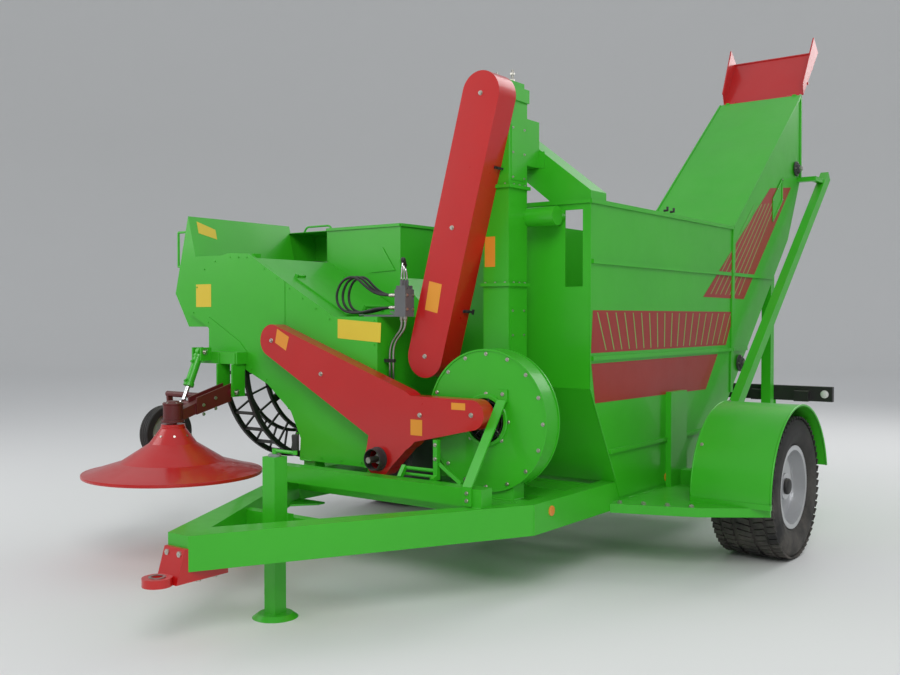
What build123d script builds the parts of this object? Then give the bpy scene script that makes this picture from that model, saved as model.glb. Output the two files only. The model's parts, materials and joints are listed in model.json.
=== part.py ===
"""Trailed pumpkin harvester: a two-wheeled machine that gathers, lifts, crushes and sieves pumpkins.

Lengths are in millimetres. The machine is laid out with X to its left, Y to its rear and Z up, from the
point on the ground under the middle of the axle. Every piece is written out with its origin moved to the
centre of the tow eye, which is the machine's natural reference point.
"""
import math
import os
from build123d import *

# Clearances
SEAT = 0.3            # between round pieces that sit in each other
RUN = 0.05            # radial clearance of a shaft in its bearing

# Layout along the machine: the pick-up wheel turns between the fender and the front panel
PICK_R = 735.0
PICK_REAR = -385.0
PICK_GAP = 45.0       # front of the wheel to the panel's face
PICK_Y = PICK_REAR - PICK_R
PANEL_Y = PICK_Y - PICK_R - PICK_GAP
CRUSH_REAR = PICK_Y - 40
POST_Y = (PICK_Y - 50, PICK_Y + 50)

# Road wheels and axle
TYRE_R = 465.0
TYRE_W = 430.0
BEAD_R = 248.0
TYRE_WALL = 40.0
FLANGE_R = 270.0
RIM_WALL = 8.0
RIM_W = 370.0
DISC_OFFSET = 40.0    # wheel disc outside the middle of the tyre
DISC_T = 14.0
HUB_R = 85.0
HUB_LEN = 190.0
SPINDLE_R = 40.0
WHEEL_X = 1575.0
AXLE_SIDE = 100.0

# Main frame and drawbar
RAIL_OUT = 955.0      # outer face of a rail
RAIL_W = 100.0
RAIL_BOTTOM = 370.0
RAIL_H = 170.0
RAIL_FRONT = PANEL_Y + 20
RAIL_REAR = 2100.0
NOSE_Y = -3480.0
NOSE_W = 150.0
NOSE_CAP = 40.0       # nose in front of where the legs' lines meet
NOSE_BLOCK = 160.0
TIE_W = 60.0
PLATE = 12.0
CROSS_H = 100.0
# front and rear face of each cross member inside the rails
CROSS_MEMBERS = ((RAIL_FRONT, RAIL_FRONT + 100), (-1620.0, -1380.0), POST_Y, (-760.0, -660.0),
                 (900.0, 1000.0), (RAIL_REAR - 100, RAIL_REAR))
BEAM_X = (-830.0, 790.0)
BEAM_Y = (PANEL_Y - 250, PANEL_Y - 150)
AXLE_GAP = 60.0       # end of the square beam to the tyre
HUB_CAP = 30.0
EYE_Y = -3640.0
EYE_Z = 340.0
EYE_BORE_R = 26.0
EYE_R = 70.0
EYE_T = 40.0
EYE_SHANK = 80.0
SHOE_L = 240.0

# Parking jack
JACK_Y = -2900.0
JACK_SIDE = 90.0
JACK_WALL = 5.0
JACK_TOP = 840.0
JACK_LEG_SIDE = 79.4
JACK_FOOT_R = 120.0
JACK_STROKE = 250.0

# Deck plates and fenders
DECK_Z = 360.0
DECK_TOP = TYRE_R - AXLE_SIDE / 2     # welded under the axle beam
DECK_OUT = 1800.0
FENDER_IN = 1320.0
FENDER_OUT = 1820.0
FENDER_R = TYRE_R + 95
FENDER_Y = -60.0
FENDER_Z = TYRE_R - 25
FENDER_REAR_ANGLE = 12.0
DECK_STEP = -545.0
DECK_REAR = 235.0
SHEET = 6.0

# Seed tank and discharge elevator
TANK_RIGHT = -150.0
TANK_LEFT = 960.0
TANK_TOP = 2270.0
TANK_FRONT = -1270.0
TANK_KNEE = 1140.0
TANK_LOW_Y = -936.0
TANK_FLOOR = RAIL_BOTTOM + RAIL_H
SKIRT_Z = 440.0
WALL = 5.0
TAIL_Y = 485.0
JOINT_LOW = (950.0, 980.0)
JOINT_HIGH = (1000.0, TANK_TOP)
ELEV_RIGHT = 220.0
ELEV_TOP_Z = 3570.0
ELEV_END_Y = 2610.0
ELEV_MOUTH_Z = 2800.0
ELEV_HEEL = (2290.0, 2250.0)
RIB_H = 26.0
RIB_T = 14.0
RIB_LEVELS = (1900.0, 1320.0, 740.0)
SLOT_X = (790.0, 910.0)
SLOT_Z = (1750.0, 2210.0)
SPOUT_LEN = 620.0
SPOUT_RISE = 51.5
SPOUT_SIDE = 150.0
PIVOT_OUT = 32.0
SPOUT_PIVOT = (ELEV_END_Y + PIVOT_OUT, ELEV_TOP_Z - 5)
PIN_R = 12.0
STRUT_X = 1100.0
STRUT_LOW = (130.0, DECK_TOP)
STRUT_HIGH = (2900.0, 2860.0)
STRUT_W = 70.0
STRUT_H = 90.0

# Tower of the seed lift, its chute and drives
TOWER_X = (420.0, 600.0)
TOWER_Y = (-1600.0, -1400.0)
TOWER_TOP = 2970.0
THROAT_Z = (TOWER_TOP - 490, TOWER_TOP - 210)
STUB_Z = TANK_TOP - 100
CHUTE_Y = (-1262.0, -1070.0)
TALL_TOP = (520.0, 2860.0)
TALL_LOW = (110.0, 1330.0)
TALL_R = 130.0
TALL_DEPTH = 175.0
GUARD_WALL = 4.0
GUARD_DEPTH = 100.0   # of the Y-shaped guard
BLOWER_X = 615.0
BLOWER_Z = 980.0
BLOWER_R = 400.0
BLOWER_Y = (PANEL_Y + 45, PANEL_Y + 175)
INLET_R = 130.0
SHAFT_R = 20.0
BEARING_R = 60.0
BEARING_LEN = 60.0
BLADES = 8
PTO_X = -70.0         # beside the jack, so that the drive shaft passes it
PTO_Z = 720.0
PTO_HOLE_R = 60.0
PTO_R = 17.5
PTO_THICK_R = 30.0
PTO_OUT = 90.0
BOX_SIDE = 240.0

# Sieve drum
DRUM_X = -790.0
DRUM_Z = 1330.0
DRUM_R = 400.0
DRUM_SHAFT_R = 30.0
DRUM_BARS = 32
DRUM_FRONT = CRUSH_REAR + 60
DRUM_REAR = RAIL_REAR - 40
DRUM_RINGS = 5
CASE_R = 455.0
CASE_LOW = 1000.0
CASE_REAR = RAIL_REAR - 5
TROUGH_TOP = 900.0
TROUGH_HALF = 410.0
TROUGH_FLAT = 40.0

# Front panel, crusher housing and receiving box
PANEL_DEPTH = 30.0
CRUSH_RIGHT = DRUM_X - CASE_R - 25
CRUSH_LEFT = -160.0
CRUSH_TOP = 1570.0
CRUSH_FLOOR = 640.0
LID_HIGH = (-1010.0, 1830.0)
LID_LOW = (-520.0, CRUSH_TOP)
LID_T = 12.0
LID_EDGE = 25.0
HINGE_UP = 17.0       # lid's hinge line above the slope
HINGE_PIN_R = 6.0
KNUCKLE_R = 11.0
RECEIVE_TOP = 2220.0
RECEIVE_RIGHT = DRUM_X - CASE_R - 45
RECEIVE_LEFT = -590.0
RECEIVE_REAR = -450.0
RECEIVE_LOW_SIDE = 1950.0

# Pick-up wheel
PICK_Z = 1250.0
PICK_INNER_R = 550.0
PICK_BARS = 30
PICK_BAR = 24.0
PICK_RING = 34.0
PICK_SPOKES = 6
PICK_SHAFT_R = 35.0
POST_X = (DRUM_X - CASE_R - 95, DRUM_X - CASE_R - 35)
PICK_X = (POST_X[0] - 310, POST_X[0] - 60)

# Intake hood
HOOD_REAR = PICK_Y + 250
HOOD_LOW = 1500.0
HOOD_RIDGE = (-1985.0, 2295.0)
HOOD_BULGE = (-2130.0, 1740.0)
HOOD_SHOULDER = (-1905.0, PICK_Z + PICK_R + 15)
HOOD_T = 5.0
POCKET_DEPTH = 300.0
POCKET_TOP = 2240.0
HOOP_R = 9.0
HOOP_OUT = 40.0
HOOP_Z = (HOOD_RIDGE[1] - 355, HOOD_RIDGE[1] - 105)

# Gathering unit
ARM_PIVOT = (PANEL_Y - 85, 1060.0)
DISC_X = -1430.0
DISC_Y = PANEL_Y - 540
DISC_RIM_Z = 560.0
DISC_TOP_Z = 880.0
DISC_R = 560.0
DISC_NECK_R = 75.0
DISC_SHAFT_R = 25.0
EAR_OFFSET = 75.0
EAR_T = 14.0
GAUGE_X = -2000.0
GAUGE_Y = PANEL_Y - 160
GAUGE_Z = 750.0
GAUGE_R = 190.0
GAUGE_W = 90.0
LIFT_X = -1640.0
LIFT_TOP = (PANEL_Y - 150, 1330.0)
LIFT_EYE = (PANEL_Y - 300, 985.0)
LIFT_R = 30.0
LIFT_ROD_R = 15.0
LIFT_EYE_R = 30.0
LIFT_EYE_W = 30.0
LIFT_BARREL_LEN = 245.0
LIFT_EYE_BORE = 17.0

# Hydraulic hoses
HOSE_R = 8.0
HOSE_COUNT = 3
HOSE_PITCH = 26.0
VALVE_X = (-50.0, 35.0)
VALVE_Y = (PANEL_Y + 32, PANEL_Y + 115)
VALVE_TOP = 1735.0
HOSE_Y = PANEL_Y + 48
# x and z of the corners of the longest loop's route, from the upper port to the lower one
HOSE_ROUTE = ((-80.0, 1700.0), (-180.0, 1700.0), (-285.0, 1745.0), (-390.0, 1830.0), (-500.0, 1800.0),
              (-552.0, 1705.0), (-520.0, 1622.0), (-420.0, 1590.0), (-300.0, 1600.0), (-190.0, 1625.0),
              (-80.0, 1625.0))


def block(x, y, z):
    """A box between two values along each axis."""
    size = [b - a for a, b in (x, y, z)]
    middle = [(a + b) / 2 for a, b in (x, y, z)]
    return Pos(*middle) * Box(*size)


def prism_x(outline, x):
    """An outline of (y, z) points, filled between two values of x."""
    face = Plane.YZ * make_face(Polyline(*outline, close=True))
    return Pos(x[0], 0, 0) * extrude(face, amount=x[1] - x[0])


def prism_y(outline, y):
    """An outline of (x, z) points, filled between two values of y."""
    face = Plane.XZ * make_face(Polyline(*outline, close=True))
    return Pos(0, y[1], 0) * extrude(face, amount=y[1] - y[0])


def prism_z(outline, z):
    """An outline of (x, y) points, filled between two values of z."""
    face = make_face(Polyline(*outline, close=True))
    return Pos(0, 0, z[0]) * extrude(face, amount=z[1] - z[0])


def rod(start, end, radius):
    """A round bar between two points."""
    run = Vector(*end) - Vector(*start)
    return extrude(Plane(origin=start, z_dir=run) * Circle(radius), amount=run.length)


def beam(start, end, width, height, flat=(0, 0, 1)):
    """A rectangular bar between two points: its height lies along the direction named flat."""
    run = Vector(*end) - Vector(*start)
    across = Vector(*flat).cross(run)
    plane = Plane(origin=start, x_dir=across, z_dir=run)
    return extrude(plane * Rectangle(width, height), amount=run.length)


def inset(outline, wall):
    """The corners of a polygon whose sides have all moved inwards by a wall."""
    pairs = list(zip(outline, outline[1:] + outline[:1]))
    turn = math.copysign(1, sum(a[0] * b[1] - b[0] * a[1] for a, b in pairs))
    normals = []
    for a, b in pairs:
        run = Vector(b[0] - a[0], b[1] - a[1]).normalized()
        normals.append(Vector(-run.Y, run.X) * turn)
    corners = []
    for point, before, after in zip(outline, normals[-1:] + normals[:-1], normals):
        shift = (before + after) * (wall / (1 + before.dot(after)))
        corners.append((point[0] + shift.X, point[1] + shift.Y))
    return corners


def ring_x(x, y, z, outer, inner, width):
    """A flat ring about a line along X, centred on x."""
    turned = Pos(x, y, z) * Rot(0, 90, 0)
    return turned * (Cylinder(outer, width) - Cylinder(inner, width))


def mirrored(shape):
    """The same shape on the machine's other side."""
    return mirror(shape, about=Plane.YZ)


nodes = {}


# Drawbar, frame and axle
FRAME_Z = (RAIL_BOTTOM, RAIL_BOTTOM + RAIL_H)
FRAME_TOP = FRAME_Z[1]


def make_drawbar():
    bar = None
    for side in (-1, 1):
        outline = [
            (side * NOSE_W / 2, NOSE_Y - NOSE_CAP),
            (side * RAIL_OUT, RAIL_FRONT),
            (side * (RAIL_OUT - RAIL_W), RAIL_FRONT),
            (0, NOSE_Y + NOSE_BLOCK),
            (0, NOSE_Y - NOSE_CAP),
        ]
        leg = prism_z(outline, FRAME_Z)
        bar = leg if bar is None else bar + leg
    half = (RAIL_OUT - RAIL_W / 2) * (JACK_Y - NOSE_Y) / (RAIL_FRONT - NOSE_Y)
    tie_front = JACK_Y + JACK_SIDE / 2 + PLATE
    bar += block((-half, half), (tie_front, tie_front + TIE_W), (FRAME_Z[0] + 20, FRAME_TOP - 20))
    for side in (-1, 1):
        gusset = [(side * RAIL_OUT, RAIL_FRONT), (side * (RAIL_OUT - 330), RAIL_FRONT),
                  (side * (RAIL_OUT - 330), RAIL_FRONT - 60), (side * (RAIL_OUT - 150), RAIL_FRONT - 280)]
        bar += prism_z(gusset, (FRAME_Z[0], FRAME_Z[0] + PLATE))
    return bar + block(BEAM_X, BEAM_Y, (FRAME_TOP, FRAME_TOP + CROSS_H))


def make_main_frame():
    frame = block((-RAIL_OUT, -RAIL_OUT + RAIL_W), (RAIL_FRONT, RAIL_REAR), FRAME_Z)
    frame += mirrored(frame)
    inside = RAIL_OUT - RAIL_W
    for front, rear in CROSS_MEMBERS:
        frame += block((-inside, inside), (front, rear), (FRAME_TOP - CROSS_H, FRAME_TOP))
    frame += block((POST_X[0], -RAIL_OUT), POST_Y, (FRAME_TOP - CROSS_H, FRAME_TOP))
    half = AXLE_SIDE / 2
    return frame - block((-DECK_OUT, DECK_OUT), (-half, half), (TYRE_R - half, TYRE_R + half))


def make_axle():
    half = AXLE_SIDE / 2
    stop = WHEEL_X - TYRE_W / 2 - AXLE_GAP
    axle = block((-stop, stop), (-half, half), (TYRE_R - half, TYRE_R + half))
    tip = WHEEL_X + DISC_OFFSET + HUB_LEN / 2 - HUB_CAP
    return axle + rod((-tip, 0, TYRE_R), (tip, 0, TYRE_R), SPINDLE_R)


nodes["drawbar"] = make_drawbar()
nodes["main_frame"] = make_main_frame()
nodes["axle"] = make_axle()


def make_tow_eye():
    shank_end = NOSE_Y - NOSE_CAP
    z = (EYE_Z - EYE_T / 2, EYE_Z + EYE_T / 2)
    eye = Pos(0, EYE_Y, EYE_Z) * Cylinder(EYE_R, EYE_T)
    eye += block((-EYE_SHANK / 2, EYE_SHANK / 2), (EYE_Y + EYE_R / 2, shank_end), z)
    shoe = [(shank_end - 70, z[0]), (shank_end + SHOE_L, z[0]), (shank_end + SHOE_L, RAIL_BOTTOM),
            (shank_end, RAIL_BOTTOM), (shank_end, RAIL_BOTTOM + 110), (shank_end - 20, RAIL_BOTTOM + 110)]
    eye += prism_x(shoe, (-NOSE_W / 2, NOSE_W / 2))
    return eye - Pos(0, EYE_Y, EYE_Z) * Cylinder(EYE_BORE_R, EYE_T * 2)


nodes["tow_eye"] = make_tow_eye()


# Parking jack
def make_jack_sleeve():
    half = JACK_SIDE / 2
    low = RAIL_BOTTOM - 60
    x = (-half, half)
    y = (JACK_Y - half, JACK_Y + half)
    tube = block(x, y, (low, JACK_TOP))
    tube -= block((-half + JACK_WALL, half - JACK_WALL),
                  (JACK_Y - half + JACK_WALL, JACK_Y + half - JACK_WALL), (low - 10, JACK_TOP - PLATE))
    tube += block((-80, 80), (JACK_Y + half, JACK_Y + half + PLATE), (RAIL_BOTTOM, RAIL_BOTTOM + RAIL_H))
    tube += rod((0, JACK_Y, JACK_TOP), (0, JACK_Y, JACK_TOP + 40), 14)
    tube += rod((0, JACK_Y, JACK_TOP + 30), (150, JACK_Y, JACK_TOP + 30), 9)
    tube += rod((150, JACK_Y, JACK_TOP + 21), (150, JACK_Y, JACK_TOP + 120), 12)
    return tube


def make_jack_leg():
    half = JACK_LEG_SIDE / 2
    leg = block((-half, half), (JACK_Y - half, JACK_Y + half), (20, JACK_TOP - PLATE - JACK_STROKE - 20))
    dish = Pos(0, JACK_Y, 11) * Cone(JACK_FOOT_R, JACK_FOOT_R * 0.75, 22)
    return leg + dish


nodes["jack_sleeve"] = make_jack_sleeve()
nodes["jack_leg"] = make_jack_leg()


# Wheels
def make_tyre():
    half = TYRE_W / 2
    shoulder = 45.0
    side_r = (TYRE_R + BEAD_R) / 2
    bead = half - TYRE_WALL
    profile = [
        (-bead, BEAD_R + SEAT), (-bead, FLANGE_R + 6), (-half, side_r), (-half + 12, TYRE_R - shoulder),
        (-half + shoulder, TYRE_R - 8), (-half + 2 * shoulder, TYRE_R), (half - 2 * shoulder, TYRE_R),
        (half - shoulder, TYRE_R - 8), (half - 12, TYRE_R - shoulder), (half, side_r),
        (bead, FLANGE_R + 6), (bead, BEAD_R + SEAT),
        (bead - 30, BEAD_R + SEAT), (half - TYRE_WALL, side_r), (half - TYRE_WALL - 10, TYRE_R - TYRE_WALL),
        (-half + TYRE_WALL + 10, TYRE_R - TYRE_WALL), (-half + TYRE_WALL, side_r), (-bead + 30, BEAD_R + SEAT),
    ]
    return revolve(Plane.XZ * make_face(Polyline(*profile, close=True)), axis=Axis.X)


def make_rim():
    half = RIM_W / 2
    bead = TYRE_W / 2 - TYRE_WALL
    barrel = [
        (-bead - 1, BEAD_R), (-bead - 1, FLANGE_R), (-bead - 1 - RIM_WALL, FLANGE_R),
        (-bead - 1 - RIM_WALL, BEAD_R - RIM_WALL), (bead + 1 + RIM_WALL, BEAD_R - RIM_WALL),
        (bead + 1 + RIM_WALL, FLANGE_R), (bead + 1, FLANGE_R), (bead + 1, BEAD_R),
    ]
    rim = revolve(Plane.XZ * make_face(Polyline(*barrel, close=True)), axis=Axis.X)
    face_x = DISC_OFFSET
    disc = [
        (face_x, 0), (face_x + DISC_T, 0), (face_x + DISC_T, 130), (face_x + DISC_T + 45, 205),
        (face_x + DISC_T + 45, BEAD_R - RIM_WALL), (face_x + 45, BEAD_R - RIM_WALL), (face_x + 45, 205), (face_x, 130),
    ]
    rim += revolve(Plane.XZ * make_face(Polyline(*disc, close=True)), axis=Axis.X)
    rim += Pos(face_x, 0, 0) * Rot(0, 90, 0) * Cylinder(HUB_R, HUB_LEN)
    depth = HUB_LEN - 25
    rim -= Pos(face_x - HUB_LEN / 2, 0, 0) * Rot(0, 90, 0) * Cylinder(
        SPINDLE_R + RUN, depth, align=(Align.CENTER, Align.CENTER, Align.MIN))
    return rim


tyre_left = Pos(WHEEL_X, 0, TYRE_R) * make_tyre()
rim_left = Pos(WHEEL_X, 0, TYRE_R) * make_rim()
nodes["tyre_left"], nodes["rim_left"] = tyre_left, rim_left
nodes["tyre_right"], nodes["rim_right"] = mirrored(tyre_left), mirrored(rim_left)


# Fenders with deck plates
def make_fender():
    deck_z = (DECK_Z, DECK_TOP)
    deck = prism_z([(RAIL_OUT, -1000), (1450, -815), (DECK_OUT, -560), (DECK_OUT, DECK_STEP), (RAIL_OUT, DECK_STEP)],
                   deck_z)
    deck += block((RAIL_OUT, FENDER_IN - 10), (DECK_STEP, DECK_REAR), deck_z)
    width = FENDER_OUT - FENDER_IN
    middle_x = (FENDER_IN + FENDER_OUT) / 2
    band = ring_x(middle_x, FENDER_Y, FENDER_Z, FENDER_R + SHEET, FENDER_R, width)
    reach = 2 * FENDER_R
    rise = reach * math.tan(math.radians(FENDER_REAR_ANGLE))
    keep = [(FENDER_Y, FENDER_Z), (FENDER_Y + reach, FENDER_Z + rise), (FENDER_Y + reach, FENDER_Z + reach),
            (FENDER_Y - reach, FENDER_Z + reach), (FENDER_Y - reach, FENDER_Z)]
    band = band & prism_x(keep, (FENDER_IN, FENDER_OUT))
    front = FENDER_Y - FENDER_R
    apron = block((FENDER_IN, FENDER_OUT - 20), (front - SHEET, front), (deck_z[1], FENDER_Z))
    return deck + band + apron


fender_left = make_fender()
nodes["fender_left"] = fender_left
nodes["fender_right"] = mirrored(fender_left)


# Seed tank
def tank_outline():
    return [(TANK_FRONT, TANK_TOP), (TANK_FRONT, TANK_KNEE), (TANK_LOW_Y, TANK_FLOOR), (TAIL_Y, TANK_FLOOR),
            JOINT_LOW, JOINT_HIGH]


def make_tank():
    outline = tank_outline()
    tank = prism_x(outline, (TANK_RIGHT, TANK_LEFT))
    tank -= prism_x(inset(outline, WALL), (TANK_RIGHT + WALL, TANK_LEFT - WALL))
    tank -= block((TANK_RIGHT + WALL, TANK_LEFT - WALL), (TANK_FRONT + WALL, 985), (TANK_TOP - 20, TANK_TOP + 20))
    tank -= block((ELEV_RIGHT + WALL, TANK_LEFT - WALL), (930, 1100), (1000, TANK_TOP + 20))
    tank -= block(SLOT_X, (TANK_FRONT - 10, TANK_FRONT + 20), SLOT_Z)
    skirt = prism_x([(TANK_LOW_Y, TANK_FLOOR), (-880, SKIRT_Z), (380, SKIRT_Z), (TAIL_Y, TANK_FLOOR)],
                    (RAIL_OUT, TANK_LEFT))
    tank += skirt
    front_slope = (TANK_LOW_Y - TANK_FRONT) / (TANK_KNEE - TANK_FLOOR)
    tail_slope = (JOINT_LOW[0] - TAIL_Y) / (JOINT_LOW[1] - TANK_FLOOR)
    for level in RIB_LEVELS:
        front = TANK_FRONT + max(0.0, TANK_KNEE - level) * front_slope
        rear = min(JOINT_LOW[0] + 10, TAIL_Y + (level - TANK_FLOOR) * tail_slope)
        tank += block((TANK_LEFT, TANK_LEFT + RIB_T), (front + 20, rear - 20), (level - RIB_H / 2, level + RIB_H / 2))
    tank += block((TANK_LEFT, TANK_LEFT + 40), (-210, 50), (DECK_TOP, 1060))
    half = AXLE_SIDE / 2
    return tank - block((0, DECK_OUT), (-half, half), (TYRE_R - half, TYRE_R + half))


nodes["seed_tank"] = make_tank()


# Discharge elevator, its spout and props
def make_elevator():
    outline = [JOINT_LOW, ELEV_HEEL, (ELEV_END_Y, ELEV_MOUTH_Z), (ELEV_END_Y, ELEV_TOP_Z), JOINT_HIGH]
    box = prism_x(outline, (ELEV_RIGHT, TANK_LEFT))
    box -= prism_x(inset(outline, WALL), (ELEV_RIGHT + WALL, TANK_LEFT - WALL))
    box -= block((ELEV_RIGHT + WALL, TANK_LEFT - WALL), (900, 1010), (1000, JOINT_HIGH[1] - 5))
    box -= block((ELEV_RIGHT + WALL, TANK_LEFT - WALL), (ELEV_END_Y - 20, ELEV_END_Y + 20),
                 (ELEV_MOUTH_Z + 20, ELEV_TOP_Z - 30))
    tail_slope = (ELEV_HEEL[0] - JOINT_LOW[0]) / (ELEV_HEEL[1] - JOINT_LOW[1])
    for level in RIB_LEVELS[:2]:
        rear = JOINT_LOW[0] + (level - JOINT_LOW[1]) * tail_slope
        box += block((TANK_LEFT, TANK_LEFT + RIB_T), (JOINT_LOW[0] + 35, rear - 20),
                     (level - RIB_H / 2, level + RIB_H / 2))
    for x in (ELEV_RIGHT + 60, TANK_LEFT - 60):
        lug = block((x - 15, x + 15), (ELEV_END_Y - 1, ELEV_END_Y + PIVOT_OUT + 18), (ELEV_TOP_Z - 60, ELEV_TOP_Z + 12))
        box += lug
    return box + rod((ELEV_RIGHT + 20, *SPOUT_PIVOT), (TANK_LEFT - 20, *SPOUT_PIVOT), PIN_R)


def make_spout():
    """Laid out flat along +Y from the hinge, then turned up to its rise."""
    half = (TANK_LEFT - ELEV_RIGHT) / 2
    start = 38.0
    flare = math.degrees(math.atan2(20, SPOUT_LEN - start))
    plate = prism_z([(-half, start), (half, start), (half + 20, SPOUT_LEN), (-half - 20, SPOUT_LEN)], (-20, -15))
    for side in (-1, 1):
        wall = prism_x([(start, -20), (SPOUT_LEN, -20), (SPOUT_LEN, SPOUT_SIDE), (start + 60, 60)], (-2.5, 2.5))
        plate += Pos(side * half, 0, 0) * Rot(0, 0, -side * flare) * wall
    for x in (-half + 105, half - 105):
        eye = Pos(x, 0, 0) * Rot(0, 90, 0) * Cylinder(24, 50)
        tail = block((x - 25, x + 25), (0, start + 40), (-24, -14))
        plate += eye + tail
    for x in (-half + 105, half - 105):
        plate -= Pos(x, 0, 0) * Rot(0, 90, 0) * Cylinder(PIN_R + RUN, 80)
    middle = (TANK_LEFT + ELEV_RIGHT) / 2
    return Pos(middle, *SPOUT_PIVOT) * Rot(SPOUT_RISE, 0, 0) * plate


def make_props():
    strut = beam((STRUT_X, *STRUT_LOW), (STRUT_X, *STRUT_HIGH), STRUT_W, STRUT_H)
    strut += block((STRUT_X - 70, STRUT_X + 70), (STRUT_LOW[0] - 75, STRUT_LOW[0] + 95),
                   (STRUT_LOW[1], STRUT_LOW[1] + PLATE))
    strut -= block((STRUT_X - 200, STRUT_X + 200), (-200, 400), (0, STRUT_LOW[1]))
    bar_z = (ELEV_MOUTH_Z - 20, ELEV_MOUTH_Z + 20)
    strut += block((STRUT_X - 25, STRUT_X + 25), (ELEV_END_Y - 80, STRUT_HIGH[0] - 60), bar_z)
    return strut + block((TANK_LEFT, STRUT_X), (ELEV_END_Y - 80, ELEV_END_Y - 20), bar_z)


def make_rear_post():
    post = None
    for x in (ELEV_RIGHT + 80, RAIL_OUT - RAIL_W / 2):
        y = 1950.0
        slope = (ELEV_HEEL[1] - JOINT_LOW[1]) / (ELEV_HEEL[0] - JOINT_LOW[0])
        top = JOINT_LOW[1] + (y - 40 - JOINT_LOW[0]) * slope
        piece = prism_x([(y - 40, FRAME_TOP), (y + 40, FRAME_TOP), (y + 40, top + 80 * slope), (y - 40, top)],
                        (x - 40, x + 40))
        post = piece if post is None else post + piece
    post += block((ELEV_RIGHT + 40, RAIL_OUT - 10), (1990, RAIL_REAR), (FRAME_TOP, FRAME_TOP + 60))
    post += block((300, 1400), (RAIL_REAR, RAIL_REAR + 40), (860, 980))
    for x in (420.0, 900.0):
        post += block((x - 25, x + 25), (RAIL_REAR, RAIL_REAR + 12), (RAIL_BOTTOM + 40, 861))
    return post


nodes["elevator"] = make_elevator()
nodes["spout"] = make_spout()
nodes["prop_strut"] = make_props()
nodes["rear_post"] = make_rear_post()


# Tower of the seed lift
def make_tower():
    tower = block(TOWER_X, TOWER_Y, (FRAME_TOP, TOWER_TOP - 120))
    tower -= block((TOWER_X[0] + WALL, TOWER_X[1] - WALL), (TOWER_Y[0] + WALL, TOWER_Y[1] - WALL),
                   (FRAME_TOP + WALL, TOWER_TOP - 120 - WALL))
    tower += block((TOWER_X[0] - 15, TOWER_X[1] + 10), (TOWER_Y[0], TOWER_Y[1] + 10), (TOWER_TOP - 120, TOWER_TOP - 40))
    tower += block((TOWER_X[0], TOWER_X[1] - 20), (TOWER_Y[0] + 10, TOWER_Y[1]), (TOWER_TOP - 40, TOWER_TOP))
    tower += block((TOWER_X[0] - 15, TOWER_X[1]), (TOWER_Y[1], CHUTE_Y[0]), THROAT_Z)
    stub_y = (TOWER_Y[1] + TANK_FRONT) / 2 - 45
    tower += rod((TOWER_X[1] - 1, stub_y, STUB_Z), (TOWER_X[1] + 200, stub_y, STUB_Z), 58)
    tower += rod((TOWER_X[1] + 142, stub_y, STUB_Z), (TOWER_X[1] + 142, TANK_FRONT, STUB_Z), 50)
    return tower


def make_chute():
    start = TOWER_X[0] - 20
    outline = [(start, THROAT_Z[1] - 10), (TANK_LEFT, TANK_TOP + 50), (TANK_LEFT, TANK_TOP), (680, TANK_TOP),
               (start, THROAT_Z[0] + 10)]
    chute = prism_y(outline, CHUTE_Y)
    chute -= prism_y(inset(outline, WALL), (CHUTE_Y[0] + WALL, CHUTE_Y[1] - WALL))
    chute -= block((720, TANK_LEFT - WALL), (CHUTE_Y[0] + WALL, CHUTE_Y[1] - WALL), (TANK_TOP - 20, TANK_TOP + 10))
    return chute


nodes["tower"] = make_tower()
nodes["feed_chute"] = make_chute()


# Guards over the drives: pans open at the back
def stadium(start, end, radius):
    run = Vector(*end) - Vector(*start)
    angle = math.degrees(math.atan2(run.Y, run.X))
    middle = (Vector(*start) + Vector(*end)) * 0.5
    return Pos(middle.X, middle.Y) * Rot(0, 0, angle) * SlotCenterToCenter(run.length, 2 * radius)


def pan(face, small, front, rear):
    """A front face with a rim behind it, open at the rear."""
    full = Pos(0, rear, 0) * extrude(Plane.XZ * face, amount=rear - front)
    hollow = Pos(0, rear, 0) * extrude(Plane.XZ * small, amount=rear - front - GUARD_WALL)
    return full - hollow


def make_tall_guard():
    rear = TOWER_Y[0]
    front = rear - TALL_DEPTH
    return pan(stadium(TALL_LOW, TALL_TOP, TALL_R), stadium(TALL_LOW, TALL_TOP, TALL_R - GUARD_WALL), front, rear)


def y_guard_face(shrink):
    """Three arms that meet: from the crusher, on to the blower, and down to the power input."""
    hub = (60.0, 960.0)
    # start, end, half width at the start, half width at the end
    arms = (
        ((-985.0, 1415.0), hub, 105.0, 190.0),
        (hub, (BLOWER_X, BLOWER_Z + 40), 150.0, 85.0),
        (hub, (PTO_X, PTO_Z), 190.0, 105.0),
    )
    face = None
    for start, end, r0, r1 in arms:
        a, b = Vector(*start), Vector(*end)
        run = (b - a).normalized()
        side = Vector(-run.Y, run.X)
        r0, r1 = r0 - shrink, r1 - shrink
        points = [a + side * r0, b + side * r1, b - side * r1, a - side * r0]
        piece = make_face(Polyline(*[(p.X, p.Y) for p in points], close=True))
        piece = piece + Pos(a.X, a.Y) * Circle(r0) + Pos(b.X, b.Y) * Circle(r1)
        face = piece if face is None else face + piece
    return face


def make_y_guard():
    guard = pan(y_guard_face(0), y_guard_face(GUARD_WALL), PANEL_Y - GUARD_DEPTH, PANEL_Y)
    return guard - rod((PTO_X, PANEL_Y - 2 * GUARD_DEPTH, PTO_Z), (PTO_X, PANEL_Y, PTO_Z), PTO_HOLE_R)


nodes["tall_guard"] = make_tall_guard()
nodes["y_guard"] = make_y_guard()


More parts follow.
